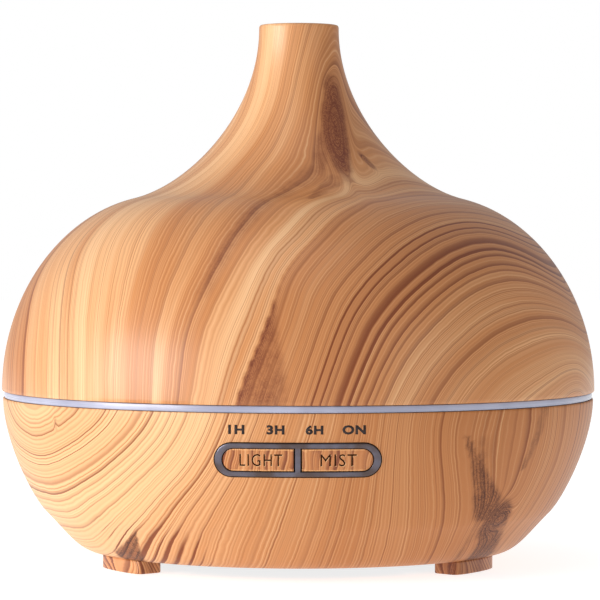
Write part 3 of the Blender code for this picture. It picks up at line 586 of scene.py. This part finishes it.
def moulded(name, colour, spread=0.06, rough=0.4, grainScale=900, relief=0.05, mottle=90, **constants):
    # moulded plastic or rubber: a slow mottle in colour and gloss, and a fine spark-eroded grain
    paint = Paint(name, **constants)
    here = paint.here()
    slow = paint.noise(here, mottle, 3, 0.55)
    fine = paint.noise(here, grainScale, 2, 0.6)
    darker, lighter = (tuple(np.clip(np.array(colour) * k, 0, 1)) for k in (1 - spread, 1 + spread))
    tone = paint.mix(slow.step(0.3, 0.7), darker, lighter)
    return paint.end(Base_Color=tone, Roughness=rough + (slow - 0.5) * 0.1 + (fine - 0.5) * 0.06,
                     Normal=paint.bump(fine, relief, 0.05))


def brushed(name, colour, rough=0.3, stretch=(1, 1, 60), scale=60, **constants):
    # metal with hairline marks: noise squeezed along one axis
    paint = Paint(name, Metallic=1.0, **constants)
    here = paint.here()
    hair = paint.noise(paint.vector("MULTIPLY", here, stretch), scale, 3, 0.6)
    slow = paint.noise(here, 70, 2, 0.5)
    darker, lighter = (tuple(np.clip(np.array(colour) * k, 0, 1)) for k in (0.8, 1.12))
    return paint.end(Base_Color=paint.mix(hair * 0.6 + slow * 0.4, darker, lighter),
                     Roughness=rough + (hair - 0.5) * 0.18, Normal=paint.bump(hair, 0.08, 0.03))


def circuitBoard(name):
    # green resist over copper tracks: two stepped grids, one turned, with tinned pads scattered over them
    paint = Paint(name, IOR=1.5)
    here = paint.here()
    x, y, z = paint.parts(here)
    warp = paint.noise(here, 130, 1, 0.4)
    lane = ((x + y * 0.35) * 620 + warp * 5).fract()
    track = lane.step(0.28, 0.34) * (1 - lane.step(0.6, 0.66))
    cross = ((y * 1.0 + z) * 480 + warp * 4).fract()
    other = cross.step(0.3, 0.36) * (1 - cross.step(0.6, 0.66))
    copper = paint.noise(here, 55, 1, 0.4).step(0.47, 0.5)
    traced = (track * copper + other * (1 - copper)).clamped()
    pads = paint.node("TexVoronoi", {"feature": "F1"}, Vector=here, Scale=330.0)
    pad = 1 - pads.step(0.16, 0.2)
    green = paint.mix(traced, srgb(16, 74, 44), srgb(38, 118, 66))
    return paint.end(Base_Color=paint.mix(pad, green, srgb(196, 198, 192)), Metallic=pad * 0.8,
                     Roughness=0.34 + traced * 0.08 - pad * 0.08, Normal=paint.bump(traced + pad, 0.25, 0.05))


def woundCopper(name):
    # enamelled wire: close turns up the coil's height
    paint = Paint(name, Metallic=0.85, Coat_Weight=0.4)
    here = paint.here()
    x, y, z = paint.parts(here)
    turns = (z * 15000 + paint.noise(here, 200, 1, 0.5) * 1.2).sine() * 0.5 + 0.5
    return paint.end(Base_Color=paint.mix(turns, srgb(96, 44, 20), srgb(205, 118, 66)),
                     Roughness=0.42 - turns * 0.14, Normal=paint.bump(turns, 0.6, 0.12))


def gunmetal(name):
    # dark plated frame: faint polish marks along its length and a cloudy tint, whose paler blue grey clouds
    # are painted reflection
    paint = Paint(name, Metallic=0.82, IOR=1.6)
    here = paint.here()
    hair = paint.noise(paint.vector("MULTIPLY", here, (12, 12, 160)), 30, 3, 0.6)
    slow = paint.noise(here, 160, 2, 0.5)
    # warm grey plating blended with blue grey clouds of painted reflection
    tintAndPaintedReflection = paint.mix(slow.step(0.35, 0.65), srgb(88, 76, 74), srgb(108, 106, 118))
    return paint.end(Base_Color=paint.mix(hair * 0.3, tintAndPaintedReflection, srgb(62, 50, 48)), Roughness=0.24 + hair * 0.12,
                     Normal=paint.bump(hair, 0.05, 0.03))


def litRing(name):
    # milky, slightly blue plastic with soft clouds of pigment and fine turning marks
    paint = Paint(name, IOR=1.49, Coat_Weight=0.25, Coat_Roughness=0.12)
    here = paint.here()
    x, y, z = paint.parts(here)
    cloud = paint.noise(here, 48, 3, 0.5)
    turning = paint.noise(paint.pack(x * 3, y * 3, z * 900), 3.0, 2, 0.5)
    tone = paint.mix(cloud.step(0.3, 0.7), srgb(152, 155, 176), srgb(176, 180, 200))
    return paint.end(Base_Color=tone, Roughness=0.22 + turning * 0.1, Normal=paint.bump(turning, 0.06, 0.05))


print("materials")
wood = woodPrint("woodPrint", woodLook)
bowlWood = woodPrint("bowlPrint", {**woodLook, "knot": srgb(72, 34, 22), "patches": 1.0, "lateFrom": 0.4,
                                  "finePerRing": 3.0, "coat": 0.12, "shine": 0.18}, 1.15)
footWood = woodPrint("footWood", {**woodLook, "pale": srgb(222, 160, 108), "finePerRing": 3.0}, 1.5)
buttonWood = woodPrint("buttonWood", {**woodLook, "pale": srgb(220, 158, 100), "honey": srgb(196, 124, 66),
                                      "finePerRing": 3.0, "roughness": 0.33}, 1.1)
innerShell = moulded("innerShell", srgb(214, 178, 138), 0.05, 0.5, 700, 0.08)
mouldedLooks = {  # colour, spread of tone, roughness, grain, relief
    "white_plastic": (srgb(232, 231, 226), 0.035, 0.36, 1100, 0.04),
    "black_plastic": (srgb(34, 33, 33), 0.25, 0.46, 800, 0.12),
    "soft_rubber": (srgb(58, 56, 55), 0.2, 0.72, 420, 0.2),
    "red_plastic": (srgb(176, 38, 30), 0.12, 0.42, 700, 0.06),
    "black_wire": (srgb(40, 39, 40), 0.2, 0.5, 300, 0.15),
    "white_wire": (srgb(226, 224, 216), 0.06, 0.48, 300, 0.1),
}
brushedLooks = {  # colour, roughness, stretch, scale
    "screw_steel": (srgb(190, 190, 188), 0.32, (60, 1, 1), 40),
    "disc_brass": (srgb(214, 178, 104), 0.28, (1, 40, 1), 50),
    "bare_alloy": (srgb(196, 198, 202), 0.36, (50, 1, 1), 45),
}


def camel(slot):
    first, *rest = slot.split("_")
    return first + "".join(word.title() for word in rest)


finishes = {slot: moulded(camel(slot), *look) for slot, look in mouldedLooks.items()}
finishes |= {slot: brushed(camel(slot), *look) for slot, look in brushedLooks.items()}
finishes |= {
    "wood_print": wood,
    "ring_plastic": litRing("ringPlastic"),
    "frame_chrome": gunmetal("frameChrome"),
    "circuit_board": circuitBoard("circuitBoard"),
    "coil_copper": woundCopper("coilCopper"),
    "lamp_white": moulded("lampWhite", srgb(236, 232, 208), 0.05, 0.25, 500, 0.03, Coat_Weight=0.5),
}
printedInk = moulded("printedInk", srgb(50, 41, 39), 0.1, 0.6, 500, 0.1, Specular_IOR_Level=0.2)
# dark brown painted shade for the inside of the engraved letters
paintedGrooveShade = moulded("paintedGrooveShade", srgb(70, 40, 24), 0.15, 0.8, 500, 0.1, Specular_IOR_Level=0.05)
# pale wood colour for the painted highlight beside the engraved letters
paintedEdgeHighlight = moulded("paintedEdgeHighlight", srgb(226, 176, 124), 0.05, 0.5, 500, 0.1)

print("cover")
coverLook = {"steps": 384, "outerRows": 76, "innerRows": 34, "wall": 2.2}
outer = coverOutline(coverLook["outerRows"])
inner = inset(coverOutline(coverLook["innerRows"]), coverLook["wall"])
inner[0] = (11.3 - coverLook["wall"], neckTop - 0.5)
inner[-1] = (bodyRadius - coverLook["wall"], coverFoot + 0.05)
outer[-1] = (bodyRadius - 0.12, coverFoot)
outer = np.vstack([outer[:-1], [(bodyRadius - 0.01, coverFoot + 0.22)], outer[-1:]])
rimRound = bezier((9.3, neckTop), (10.9, neckTop), (11.28, neckTop - 0.1), (11.3, neckTop - 1.0), 7)
coverMesh = turned("cover", np.vstack([rimRound, outer, inner[::-1]]), coverLook["steps"])
insideFrom = (len(rimRound) + len(outer)) * coverLook["steps"]
coverMesh.materials.append(wood)
coverMesh.materials.append(innerShell)
corners = readAll(coverMesh.loops, "vertex_index", 1, np.int32)
inward = (corners.reshape(-1, 4) >= insideFrom).all(axis=1)
coverMesh.polygons.foreach_set("material_index", inward.astype(np.int32))
giveValues(coverMesh, **coverGrain(pointsOf(coverMesh)))
bossSpots = [(45 * across * cos(radians(a)), 45 * across * sin(radians(a))) for a in (90, 210, 330)]
bossTop = radiusAt(coverLine[:, ::-1], 48.2 * across) - 1.2
bosses = [turned("boss", [(3.2, bossTop), (3.2, bossTop - 8.5), (3.0, bossTop - 8.7), (1.2, bossTop - 8.7),
                          (1.2, bossTop - 2)], 32, bossAt) for bossAt in bossSpots]
objectOf("coverShell", coverMesh, "cover", wood, ["cover_shell"], 50)
objectOf("coverBosses", joined("coverBosses", *bosses), "cover", innerShell)

print("bowl")
bowlLook = {"steps": 384, "sideRows": 60, "wall": 2.2, "holeGap": 0.25}
bowlOuter = bowlOutline(bowlLook["sideRows"], 18)
bowlOuter[0] = (bowlRadius - 0.14, seamHeight)
bowlOuter = np.vstack([bowlOuter[:1], [(bowlRadius - 0.01, seamHeight - 0.2)], bowlOuter[1:]])
innerFloor = bowlFoot + 3.5
bowlInner = inset(bowlOutline(24, 10), bowlLook["wall"])
bowlInner = bowlInner[bowlInner[:, 1] > innerFloor + 0.8]
bowlInner[0] = (bowlRadius - bowlLook["wall"], seamHeight)
lastRadius = bowlInner[-1][0] - (bowlInner[-1][1] - innerFloor)
recess = [(47.4 * across, bowlFoot), (47.4 * across, innerFloor - 1.6), (42.5 * across, innerFloor - 1.6),
          (42.5 * across, innerFloor), (lastRadius, innerFloor)]
bowlMesh = turned("bowl", np.vstack([bowlOuter, recess, bowlInner[::-1]]), bowlLook["steps"])


def pill(halfWide, halfHigh, count=14):
    # two half circles of radius h joined by straight sides, round the frame's centre, 4 * count points
    turn = np.linspace(-pi / 2, pi / 2, count)
    right = np.stack([halfWide - halfHigh + halfHigh * np.cos(turn), halfHigh * np.sin(turn)], axis=1)
    side = np.linspace(1, -1, count + 2)[1:-1, None] * [halfWide - halfHigh, 0]
    top, bottom = side + [0, halfHigh], -side - [0, halfHigh]
    return np.vstack([right, top, -right, bottom])


def prismOf(name, outline, front, back):
    # an outline in XZ, carried along Y, with both ends closed to a middle point
    middle = outline.mean(axis=0)
    rows = [(middle, front), (outline, front), (outline, back), (middle, back)]
    spread = [(np.broadcast_to(row, outline.shape), y) for row, y in rows]
    grid = np.array([np.stack([row[:, 0], np.full(len(row), y), row[:, 1] + frameCentre], axis=1)
                     for row, y in spread])
    return closePoles(gridMesh(name, grid, loopRows=False))


bezelHalf = np.array([(bezelHigh[0] - bezelLow[0]) / 2, (bezelHigh[2] - bezelLow[2]) / 2])
bowlMesh = carve(bowlMesh, prismOf("pillHole", pill(*(bezelHalf + bowlLook["holeGap"])), -95, -62))
# round pocket for the power inlet: a collar inside the wall, then two bores from outside
inletLook = {"sunk": 3.9, "collar": 7.2, "collarDeep": 3.4, "bore": 4.2, "boreDeep": 8, "mouth": 5.6,
             "out": 90}
inletFace, inletOut = radiusAt(bowlLine, inletHeight) - inletLook["sunk"], inletLook["out"]
collarFoot = inletFace - inletLook["collarDeep"]
core = np.vstack([[(0, seamHeight - 4)], inset(bowlOutline(40, 10), 0.6)[6:], [(0, bowlFoot + 4)]])
collarRadius = inletLook["collar"]
collarLine = [(0, collarFoot), (collarRadius, collarFoot), (collarRadius, inletOut), (0, inletOut)]
collar = turned("collar", collarLine, 64, (0, inletHeight), (0, 2, 1))
bowlMesh = carve(bowlMesh, carve(collar, turned("core", core, 128), "INTERSECT"), "UNION")
boreFoot = inletFace - inletLook["boreDeep"]
bore = [(0, boreFoot), (inletLook["bore"], boreFoot), (inletLook["bore"], inletFace),
        (inletLook["mouth"], inletFace), (inletLook["mouth"], inletOut), (0, inletOut)]
bowlMesh = carve(bowlMesh, turned("bore", bore, 64, (0, inletHeight), (0, 2, 1)))
giveValues(bowlMesh, **bowlGrain(pointsOf(bowlMesh)))
objectOf("bowl", bowlMesh, "base", bowlWood, ["base_housing"], 40)

print("tank and hood")
tankLook = {"steps": 160, "well": 14, "seat": 11.2, "mouth": 8, "duct": 12, "ductBore": 10.2,
            "ductAway": 39.0, "fanHole": 14.5, "fanBoss": 3.4}
ductTop, tankUnder = tankHigh[2], 0.427 * seamHeight
tankTop, tankFloor, wellFoot = ductTop - 9.0, tankUnder + 2.0, tankUnder - 6.8
flangeUnder = coverFoot - 0.15 + 0.1
tankSide = bezier((66 * across, tankTop), (64 * across, tankTop - 18), (57 * across + 1, tankFloor + 6),
                  (57 * across - 6, tankFloor), 26)
tankBack = bezier((57 * across - 5, tankUnder), (57 * across + 3.2, tankUnder + 6),
                  (66 * across, tankTop - 18), (68 * across, flangeUnder), 26)
tankRim = [(tankHigh[0] - 0.2, tankTop), (tankHigh[0], tankTop - 0.2), (tankHigh[0], flangeUnder)]
well, seat, mouth = tankLook["well"], tankLook["seat"], tankLook["mouth"]
tankWell = [(well, tankUnder), (well, wellFoot), (seat, wellFoot), (seat, wellFoot + 4),
            (mouth, wellFoot + 4), (mouth, wellFoot + 5.6), (8.3, wellFoot + 6), (12.5, tankFloor)]
tankLine = np.vstack([tankRim, tankBack[::-1], tankWell, tankSide[::-1]])
tankMesh = turned("tank", tankLine, tankLook["steps"])
ductAt = (0, tankLook["ductAway"] * across)


def upright(name, radius, low, high, at, edge=0.3, steps=64):
    # a round post with a softened top edge
    outline = [(0, low), (radius, low), (radius, high - edge), (radius - edge, high), (0, high)]
    return turned(name, outline, steps, at)


tankMesh = carve(tankMesh, upright("duct", tankLook["duct"], tankUnder + 0.6, ductTop, ductAt, 0.5), "UNION")
for side in (-1, 1):
    bossAt = (side * tankLook["fanHole"], ductAt[1] - tankLook["fanHole"])
    boss = upright("fanBoss", tankLook["fanBoss"], tankUnder + 1, tankFloor + 5, bossAt, 0.6, 40)
    tankMesh = carve(tankMesh, boss, "UNION")
tankMesh = carve(tankMesh, upright("ductBore", tankLook["ductBore"], tankUnder - 3, ductTop + 3, ductAt, 0.1))
objectOf("tank", tankMesh, "base", finishes["white_plastic"], ["water_tank"], 40)

bossFoot = radiusAt(coverLine[:, ::-1], 48.2 * across) - 9.9
tall = (neckTop - coverFoot) / 103.5
hoodLean = np.array([cos(radians(17)), -sin(radians(17))])
hoodTop, hoodEdge = np.array([8.2, hoodHigh[2]]), np.array([73 * across, tankTop + 0.3])
hoodShoulder = np.array([0.5 * bodyRadius, bossFoot - 0.7])
hoodUpper = bezier(hoodTop, hoodTop - [0, 27 * tall], hoodShoulder - 15 * across * hoodLean, hoodShoulder, 40)
hoodLower = bezier(hoodShoulder, hoodShoulder + 16 * across * hoodLean, hoodEdge + [0, 22 * tall],
                   hoodEdge, 30)
hoodLine = np.vstack([hoodUpper, hoodLower[1:]])
hoodInside = inset(hoodLine, 1.5)
hoodInside[0], hoodInside[-1] = (6.7, hoodTop[1]), (hoodEdge[0] - 1.5, hoodEdge[1] + 1.5)
lipOutside = 66 * across - 1.9
hoodLip = [(lipOutside, hoodEdge[1]), (lipOutside, tankTop - 4), (lipOutside - 1.4, tankTop - 4),
           (lipOutside - 1.4, hoodEdge[1] + 1.5)]
hoodMesh = turned("hood", np.vstack([hoodLine, hoodLip, hoodInside[::-1]]), 160)
padFoot = radiusAt(hoodLine[:, ::-1], 45 * across) - 3.4
for bossAt in bossSpots:
    hoodMesh = carve(hoodMesh, upright("pad", 4.4, padFoot, bossFoot - 0.3, bossAt, 0.4, 48), "UNION")
    hoodMesh = carve(hoodMesh, upright("padHole", 1.5, padFoot - 1, bossFoot + 1, bossAt, 0.1, 24))
objectOf("hood", hoodMesh, "cover", finishes["white_plastic"], ["mist_hood"], 40)

print("light ring")
ringOut, lipOut = ringHigh[0], bodyRadius - 3.0
bandLow, bandTop = seamHeight + 0.1, seamHeight + 1.95
ringShape = rounded([
    (lipOut, ringHigh[2]), (lipOut, bandTop), (ringOut, bandTop), (ringOut, bandLow), (lipOut, bandLow),
    (lipOut, ringLow[2]), (lipOut - 2.4, ringLow[2]), (lipOut - 4, bandLow), (lipOut - 4, bandTop),
    (lipOut - 2, bandTop), (lipOut - 2, ringHigh[2])], 0.28)
ringMesh = turned("lightRing", ringShape, 360)
objectOf("lightRing", ringMesh, "base", finishes["ring_plastic"], ["light_ring"])

print("frame and buttons")
frameLook = {"proud": 0.5, "deep": -3.2, "rim": (1.9, 1.35), "divider": 1.47}
outerPill = pill(*bezelHalf, 20)
innerPill = pill(bezelHalf[0] - frameLook["rim"][0], bezelHalf[1] - frameLook["rim"][1], 20)
# the bezel's section as (share from outer to inner edge, outward): a soft crown between two rounded edges
crown = rounded([(0, frameLook["deep"]), (0, frameLook["proud"] - 0.08), (0.5, frameLook["proud"]),
                 (1, frameLook["proud"] - 0.12), (1, frameLook["deep"])], 0.3, 5)
share, lift = crown[:, 0][:, None], crown[:, 1][:, None]
flat = outerPill[None] * (1 - share[..., None]) + innerPill[None] * share[..., None]
bezelPoints = onBowl(flat[..., 0], flat[..., 1] + frameCentre, lift + 0 * flat[..., 0])
bezelMesh = gridMesh("bezel", bezelPoints)
barSide, barTop = frameLook["divider"] / 2, frameLook["proud"] - 0.1
barFoot = frameLook["deep"]
bar = rounded([(-barSide, barFoot), (-barSide, barTop), (barSide, barTop), (barSide, barFoot)], 0.25)
heights = np.linspace(-bezelHalf[1] + 1.0, bezelHalf[1] - 1.0, 12)
barX, barUp, barOut = np.broadcast_arrays(bar[:, 0][None], heights[:, None] + frameCentre, bar[:, 1][None])
barPoints = onBowl(barX, barUp, barOut)
barMesh = gridMesh("bar", barPoints, loopRows=False)
with opened(barMesh) as shell:
    bmesh.ops.holes_fill(shell, edges=[e for e in shell.edges if e.is_boundary])
    bmesh.ops.recalc_face_normals(shell, faces=shell.faces)
objectOf("buttonFrame", joined("buttonFrame", bezelMesh, barMesh), "base",
         finishes["frame_chrome"], ["button_frame"])


def writing(name, word, height, thick, spacing, wide):
    # a word as flat filled letters, in millimetres round its own middle
    data = bpy.data.curves.new(name, "FONT")
    data.body, data.size, data.align_x, data.space_character = word, 1.0, "CENTER", spacing
    data.offset, data.resolution_u = thick, 3
    obj = bpy.data.objects.new(name, data)
    scene.collection.objects.link(obj)
    flatMesh = bpy.data.meshes.new_from_object(obj.evaluated_get(bpy.context.evaluated_depsgraph_get()))
    bpy.data.objects.remove(obj)
    points = pointsOf(flatMesh) * mm
    low, high = points.min(axis=0), points.max(axis=0)
    scaled = (points - (low + high) / 2) * (height / (high[1] - low[1])) * [wide, 1, 1]
    return flatMesh, scaled


def letters(name, word, height, at, low, high, thick=0.0, spacing=1.0, wide=1.0):
    # letters stood on the bowl: their face at high, their back at low, both along the bowl's radius
    flatMesh, scaled = writing(name, word, height, thick, spacing, wide)
    with opened(flatMesh) as body:
        body.verts.ensure_lookup_table()
        for vert, (x, z, _) in zip(body.verts, scaled):
            vert.co = (x, 0, z)
        raised = bmesh.ops.extrude_face_region(body, geom=body.faces[:])["geom"]
        front = {v for v in raised if isinstance(v, bmesh.types.BMVert)}
        for vert in body.verts:
            vert.co.y = 1.0 if vert in front else 0.0
        bmesh.ops.recalc_face_normals(body, faces=body.faces)
    points = pointsOf(flatMesh) * mm
    bent = onBowl(points[:, 0] + at[0], points[:, 2] + at[1], low + (high - low) * points[:, 1])
    flatMesh.vertices.foreach_set("co", (bent * mm).astype(np.float32).ravel())
    flatMesh.update()
    with opened(flatMesh) as body:
        bmesh.ops.remove_doubles(body, verts=body.verts, dist=1e-6)
        bmesh.ops.recalc_face_normals(body, faces=body.faces)
    return flatMesh


buttonLook = {"height": 5.9, "near": 1.035, "far": 19.7, "proud": 0.1, "deep": -2.4, "letters": 3.25,
              "letterGap": 1.14, "ringWidth": 2.3}
buttonWords = ((-1, "light", "LIGHT", -9.6, 0.8), (1, "mist", "MIST", 10.6, 0.92))


def halfPill(side, count=18):
    # a button's outline: straight beside the divider, round at its far end, evenly sampled
    r = buttonLook["height"] / 2
    turn = np.linspace(-pi / 2, pi / 2, count)
    far = np.stack([buttonLook["far"] - r + r * np.cos(turn), r * np.sin(turn)], axis=1)
    run = np.linspace(buttonLook["near"], buttonLook["far"] - r, 26)[:-1]
    nearEdge = np.linspace(r, -r, 10)[1:-1]
    outline = np.vstack([np.stack([run, -r + 0 * run], axis=1), far,
                         np.stack([run[::-1], r + 0 * run], axis=1),
                         np.stack([buttonLook["near"] + 0 * nearEdge, nearEdge], axis=1)])
    return outline * [side, 1]


for side, kind, word, wordAt, wide in buttonWords:
    outline = halfPill(side)
    middle = (outline.max(axis=0) + outline.min(axis=0)) / 2
    # nested copies of the outline: (share of the way out from the middle, outward)
    proud, deep = buttonLook["proud"], buttonLook["deep"]
    face = [(k, proud) for k in (0.0, *np.linspace(0.12, 0.93, 10))]
    shoulder = bezier((0.95, proud), (0.99, proud), (1, proud - 0.1), (1, proud - 0.35), 5)
    rows = np.vstack([face, shoulder, [(1, deep), (0, deep)]])
    nested = middle + (outline[None] - middle) * rows[:, :1, None]
    points = onBowl(nested[..., 0], nested[..., 1] + frameCentre, rows[:, 1:] + 0 * nested[..., 0])
    buttonMesh = closePoles(gridMesh(kind, points, loopRows=False))
    buttonMesh.materials.append(buttonWood)
    style = dict(spacing=buttonLook["letterGap"], wide=wide)
    engraving, core = (letters(kind + "Word", word, buttonLook["letters"], (wordAt, frameCentre), -0.3, 0.6,
                               **style) for _ in range(2))
    buttonMesh = carve(buttonMesh, engraving)
    # what lies below the face inside the word's own area is the groove, painted dark brown as painted shade
    # inside the engraving
    x, y, z = readAll(buttonMesh.polygons, "center", 3).T.astype(float) / mm
    sunk = np.hypot(x, y) - radiusAt(bowlLine, z)
    inWord = (np.abs(x - wordAt) < 6.6) & (np.abs(z - frameCentre) < 1.9)
    groove = (sunk < proud - 0.03) & (sunk > -0.6) & inWord
    buttonMesh.materials.append(paintedGrooveShade)
    buttonMesh.polygons.foreach_set("material_index", groove.astype(np.int32))
    # a painted highlight standing in for the lit lower right wall of the groove: pale letters, shifted right
    # and down, less the letters themselves
    glint = letters(kind + "Glint", word, buttonLook["letters"], (wordAt + 0.12, frameCentre - 0.09), 0.0,
                    proud + 0.006, **style)
    glint = carve(glint, core)
    objectOf(kind + "PaintedLetterHighlight", glint, kind + "_button", paintedEdgeHighlight, smooth=0)
    p = pointsOf(buttonMesh)
    sway = 0.1 * np.sin(p[:, 2] * 0.7 + p[:, 0] * 0.5)
    rings = (p[:, 0] - 0.12 * p[:, 2]) / buttonLook["ringWidth"] + sway + 40 * side
    edge = np.abs(p[:, 0] - middle[0]) / (np.ptp(outline[:, 0]) / 2)
    # the rounded rim along the button's top and bottom edges is painted paler and without ring marks or
    # streaks: a painted highlight on the rim
    rim = smooth(np.abs(p[:, 2] - frameCentre), 2.55, 2.8) * (edge < 1)
    stain = 0.5 * np.exp(-(((p[:, 0] - side * 8.5 + 3.2) / 1.1) ** 2)) * smooth(p[:, 2] - frameCentre, -4, 3)
    giveValues(buttonMesh, grain=rings, depth=1 - rim, toast=0.35 - 1.2 * rim, stain=stain * (1 - rim))
    objectOf(kind + "Button", buttonMesh, kind + "_button", buttonWood, [kind + "_button"], 35)

labelLook = {"height": 2.46, "at": 42.6, "words": [("1H", -16.0), ("3H", -5.8), ("6H", 4.3), ("ON", 14.6)]}
labelStyle = dict(thick=0.045, spacing=1.1, wide=1.22)
labels = [letters("label" + word, word, labelLook["height"], (x, labelLook["at"]), -0.15, 0.03, **labelStyle)
          for word, x in labelLook["words"]]
objectOf("timerLabels", joined("timerLabels", *labels), "base", printedInk, smooth=0)

print("feet")
footLook = {"span": 23.4, "inner": 49.4, "outer": 58.0, "squareness": 0.28}
for name, angle in (("left", -150.0), ("right", -30.0), ("rear", 90.0)):
    footTop = bowlFoot - 0.1
    sweep = np.linspace(-pi, pi, 96, endpoint=False)
    bulge = [np.sign(w) * np.abs(w) ** footLook["squareness"] for w in (np.cos(sweep), np.sin(sweep))]
    footOuter, footInner = footLook["outer"], footLook["inner"]
    radii = (footOuter + footInner) / 2 + bulge[0] * (footOuter - footInner) / 2
    turns = radians(angle) + bulge[1] * radians(footLook["span"]) / 2
    ring = np.stack([radii * across * np.cos(turns), radii * across * np.sin(turns)], axis=1)
    middle = ring.mean(axis=0)
    shape = np.vstack([[(0, 0.0)], [(k, 0.0) for k in (0.5, 0.8)],
                       bezier((0.93, 0.0), (0.985, 0.0), (1, 0.1), (1, 0.45), 5),
                       [(1, k) for k in (1.2, 2.2, 3.2)],
                       [(1, footTop - 0.25), (0.97, footTop), (0.5, footTop), (0, footTop)]])
    grid = middle + (ring[None] - middle) * shape[:, :1, None]
    points = np.concatenate([grid, np.broadcast_to(shape[:, 1:, None], grid.shape[:2] + (1,))], axis=2)
    footMesh = closePoles(gridMesh("foot", points, loopRows=False))
    p = pointsOf(footMesh)
    sway = 0.9 * np.sin(p[:, 0] * 0.35 + p[:, 2] * 0.4)
    tilt = p[:, 0] * 0.75 + (p[:, 2] - 2) * 0.25 + sway + p[:, 1] * 0.15
    streaks = smooth(np.sin(p[:, 0] * 0.9 + 1.2 * (name == "right")), 0.2, 0.8)
    # the left foot, on the key light's side, is painted paler with fainter streaks, and the right and rear
    # feet darker: painted light and painted shade
    giveValues(footMesh, grain=tilt, depth=0 * tilt + 1.0, toast=0 * tilt + (0.25 if name == "left" else 1.0),
               stain=(0.45 if name == "left" else 0.75) * streaks)
    objectOf(name + "Foot", footMesh, "base", footWood, ["foot_" + name], 45)

print("finishes")
# every other CAD node keeps its mesh and takes the finish listed here
nodesWith = {
    "black_plastic": "base_plate power_inlet fan_frame fan_rotor light_switch mist_switch capacitor_1 "
                     "capacitor_2",
    "soft_rubber": "fan_gasket transducer_seal",
    "disc_brass": "transducer_disc",
    "bare_alloy": "transducer_clamp heat_sink",
    "circuit_board": "main_board button_board",
    "coil_copper": "power_inductor",
    "red_plastic": "light_switch_plunger mist_switch_plunger transducer_lead",
    "black_wire": "fan_lead power_lead",
    "white_wire": "button_lead",
    "white_plastic": "transducer_connector fan_connector button_connector",
}
slotOf = {node: slot for slot, nodes in nodesWith.items() for node in nodes.split()}
for name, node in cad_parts.items():
    usual = "screw_steel" if "screw" in name else "lamp_white" if "light_" in name else None
    slot = slotOf.get(name, usual)
    for holder in node.material_slots if slot else ():
        holder.material = finishes[slot]

print("studio")
floorMesh = bpy.data.meshes.new("floor")
floorMesh.from_pydata([(-3, -3, 0), (3, -3, 0), (3, 3, 0), (-3, 3, 0)], [], [(0, 1, 2, 3)])
floorPaint = Paint("paleFloor", Roughness=0.9, Specular_IOR_Level=0.1, Emission_Strength=light["floorGlow"])
floorPaint.shader.inputs["Emission Color"].default_value = (1, 1, 1, 1)
floorTone = floorPaint.noise(floorPaint.here(), 3, 2, 0.5)
# seen from below the floor is clear, so that the underside can be looked at
shown = 1 - floorPaint.node("NewGeometry", {}, output="Backfacing")
floorColour = floorPaint.mix(floorTone, (0.52, 0.52, 0.52), (0.56, 0.56, 0.56))
floorMaterial = floorPaint.end(Base_Color=floorColour, Alpha=shown)
floor = bpy.data.objects.new("floor", floorMesh)
floorMesh.materials.append(floorMaterial)
scene.collection.objects.link(floor)

world = bpy.data.worlds.new("studio")
scene.world = world
world.use_nodes = True
sky = world.node_tree
background = sky.nodes["Background"]
background.inputs["Color"].default_value = (0.97, 0.98, 1.0, 1)
background.inputs["Strength"].default_value = light["sky"]
seen = sky.nodes.new("ShaderNodeBackground")
seen.inputs["Color"].default_value = (1, 1, 1, 1)
seen.inputs["Strength"].default_value = 1.0
path = sky.nodes.new("ShaderNodeLightPath")
blend = sky.nodes.new("ShaderNodeMixShader")
sky.links.new(path.outputs["Is Camera Ray"], blend.inputs[0])
sky.links.new(background.outputs[0], blend.inputs[1])
sky.links.new(seen.outputs[0], blend.inputs[2])
sky.links.new(blend.outputs[0], sky.nodes["World Output"].inputs[0])


def softbox(name, at, aim, size, power, colour):
    # a rectangular light at one place, turned to face another
    data = bpy.data.lights.new(name, "AREA")
    data.shape, data.size, data.size_y = "RECTANGLE", size[0], size[1]
    data.energy, data.color = power, colour
    obj = bpy.data.objects.new(name, data)
    way = Matrix.Translation(at).translation - Matrix.Translation(aim).translation
    obj.matrix_world = Matrix.Translation(at) @ way.to_track_quat("Z", "Y").to_matrix().to_4x4()
    scene.collection.objects.link(obj)


middleOf = (0, 0, 0.07)
softbox("keyLeft", (-0.93, -0.52, 0.24), middleOf, (light["keySize"], 0.5), light["key"], (1.0, 0.965, 0.97))
softbox("fillRight", (0.9, -0.9, 0.5), middleOf, (0.7, 0.7), light["fill"], (0.97, 0.98, 1.0))
softbox("topSoft", (-0.1, -0.3, 1.1), middleOf, (0.7, 0.7), light["top"], (1, 1, 1))

eye = bpy.data.cameras.new("camera")
eye.lens, eye.sensor_width = camera["lens"], 36
view = bpy.data.objects.new("camera", eye)
view.matrix_world = (Matrix.Translation(camera["at"]) @ Matrix.Rotation(radians(camera["tip"]), 4, "X")
                     @ Matrix.Rotation(radians(camera["roll"]), 4, "Z"))
scene.collection.objects.link(view)
scene.camera = view
scene.view_settings.view_transform = "Standard"
scene.view_settings.look = "None"
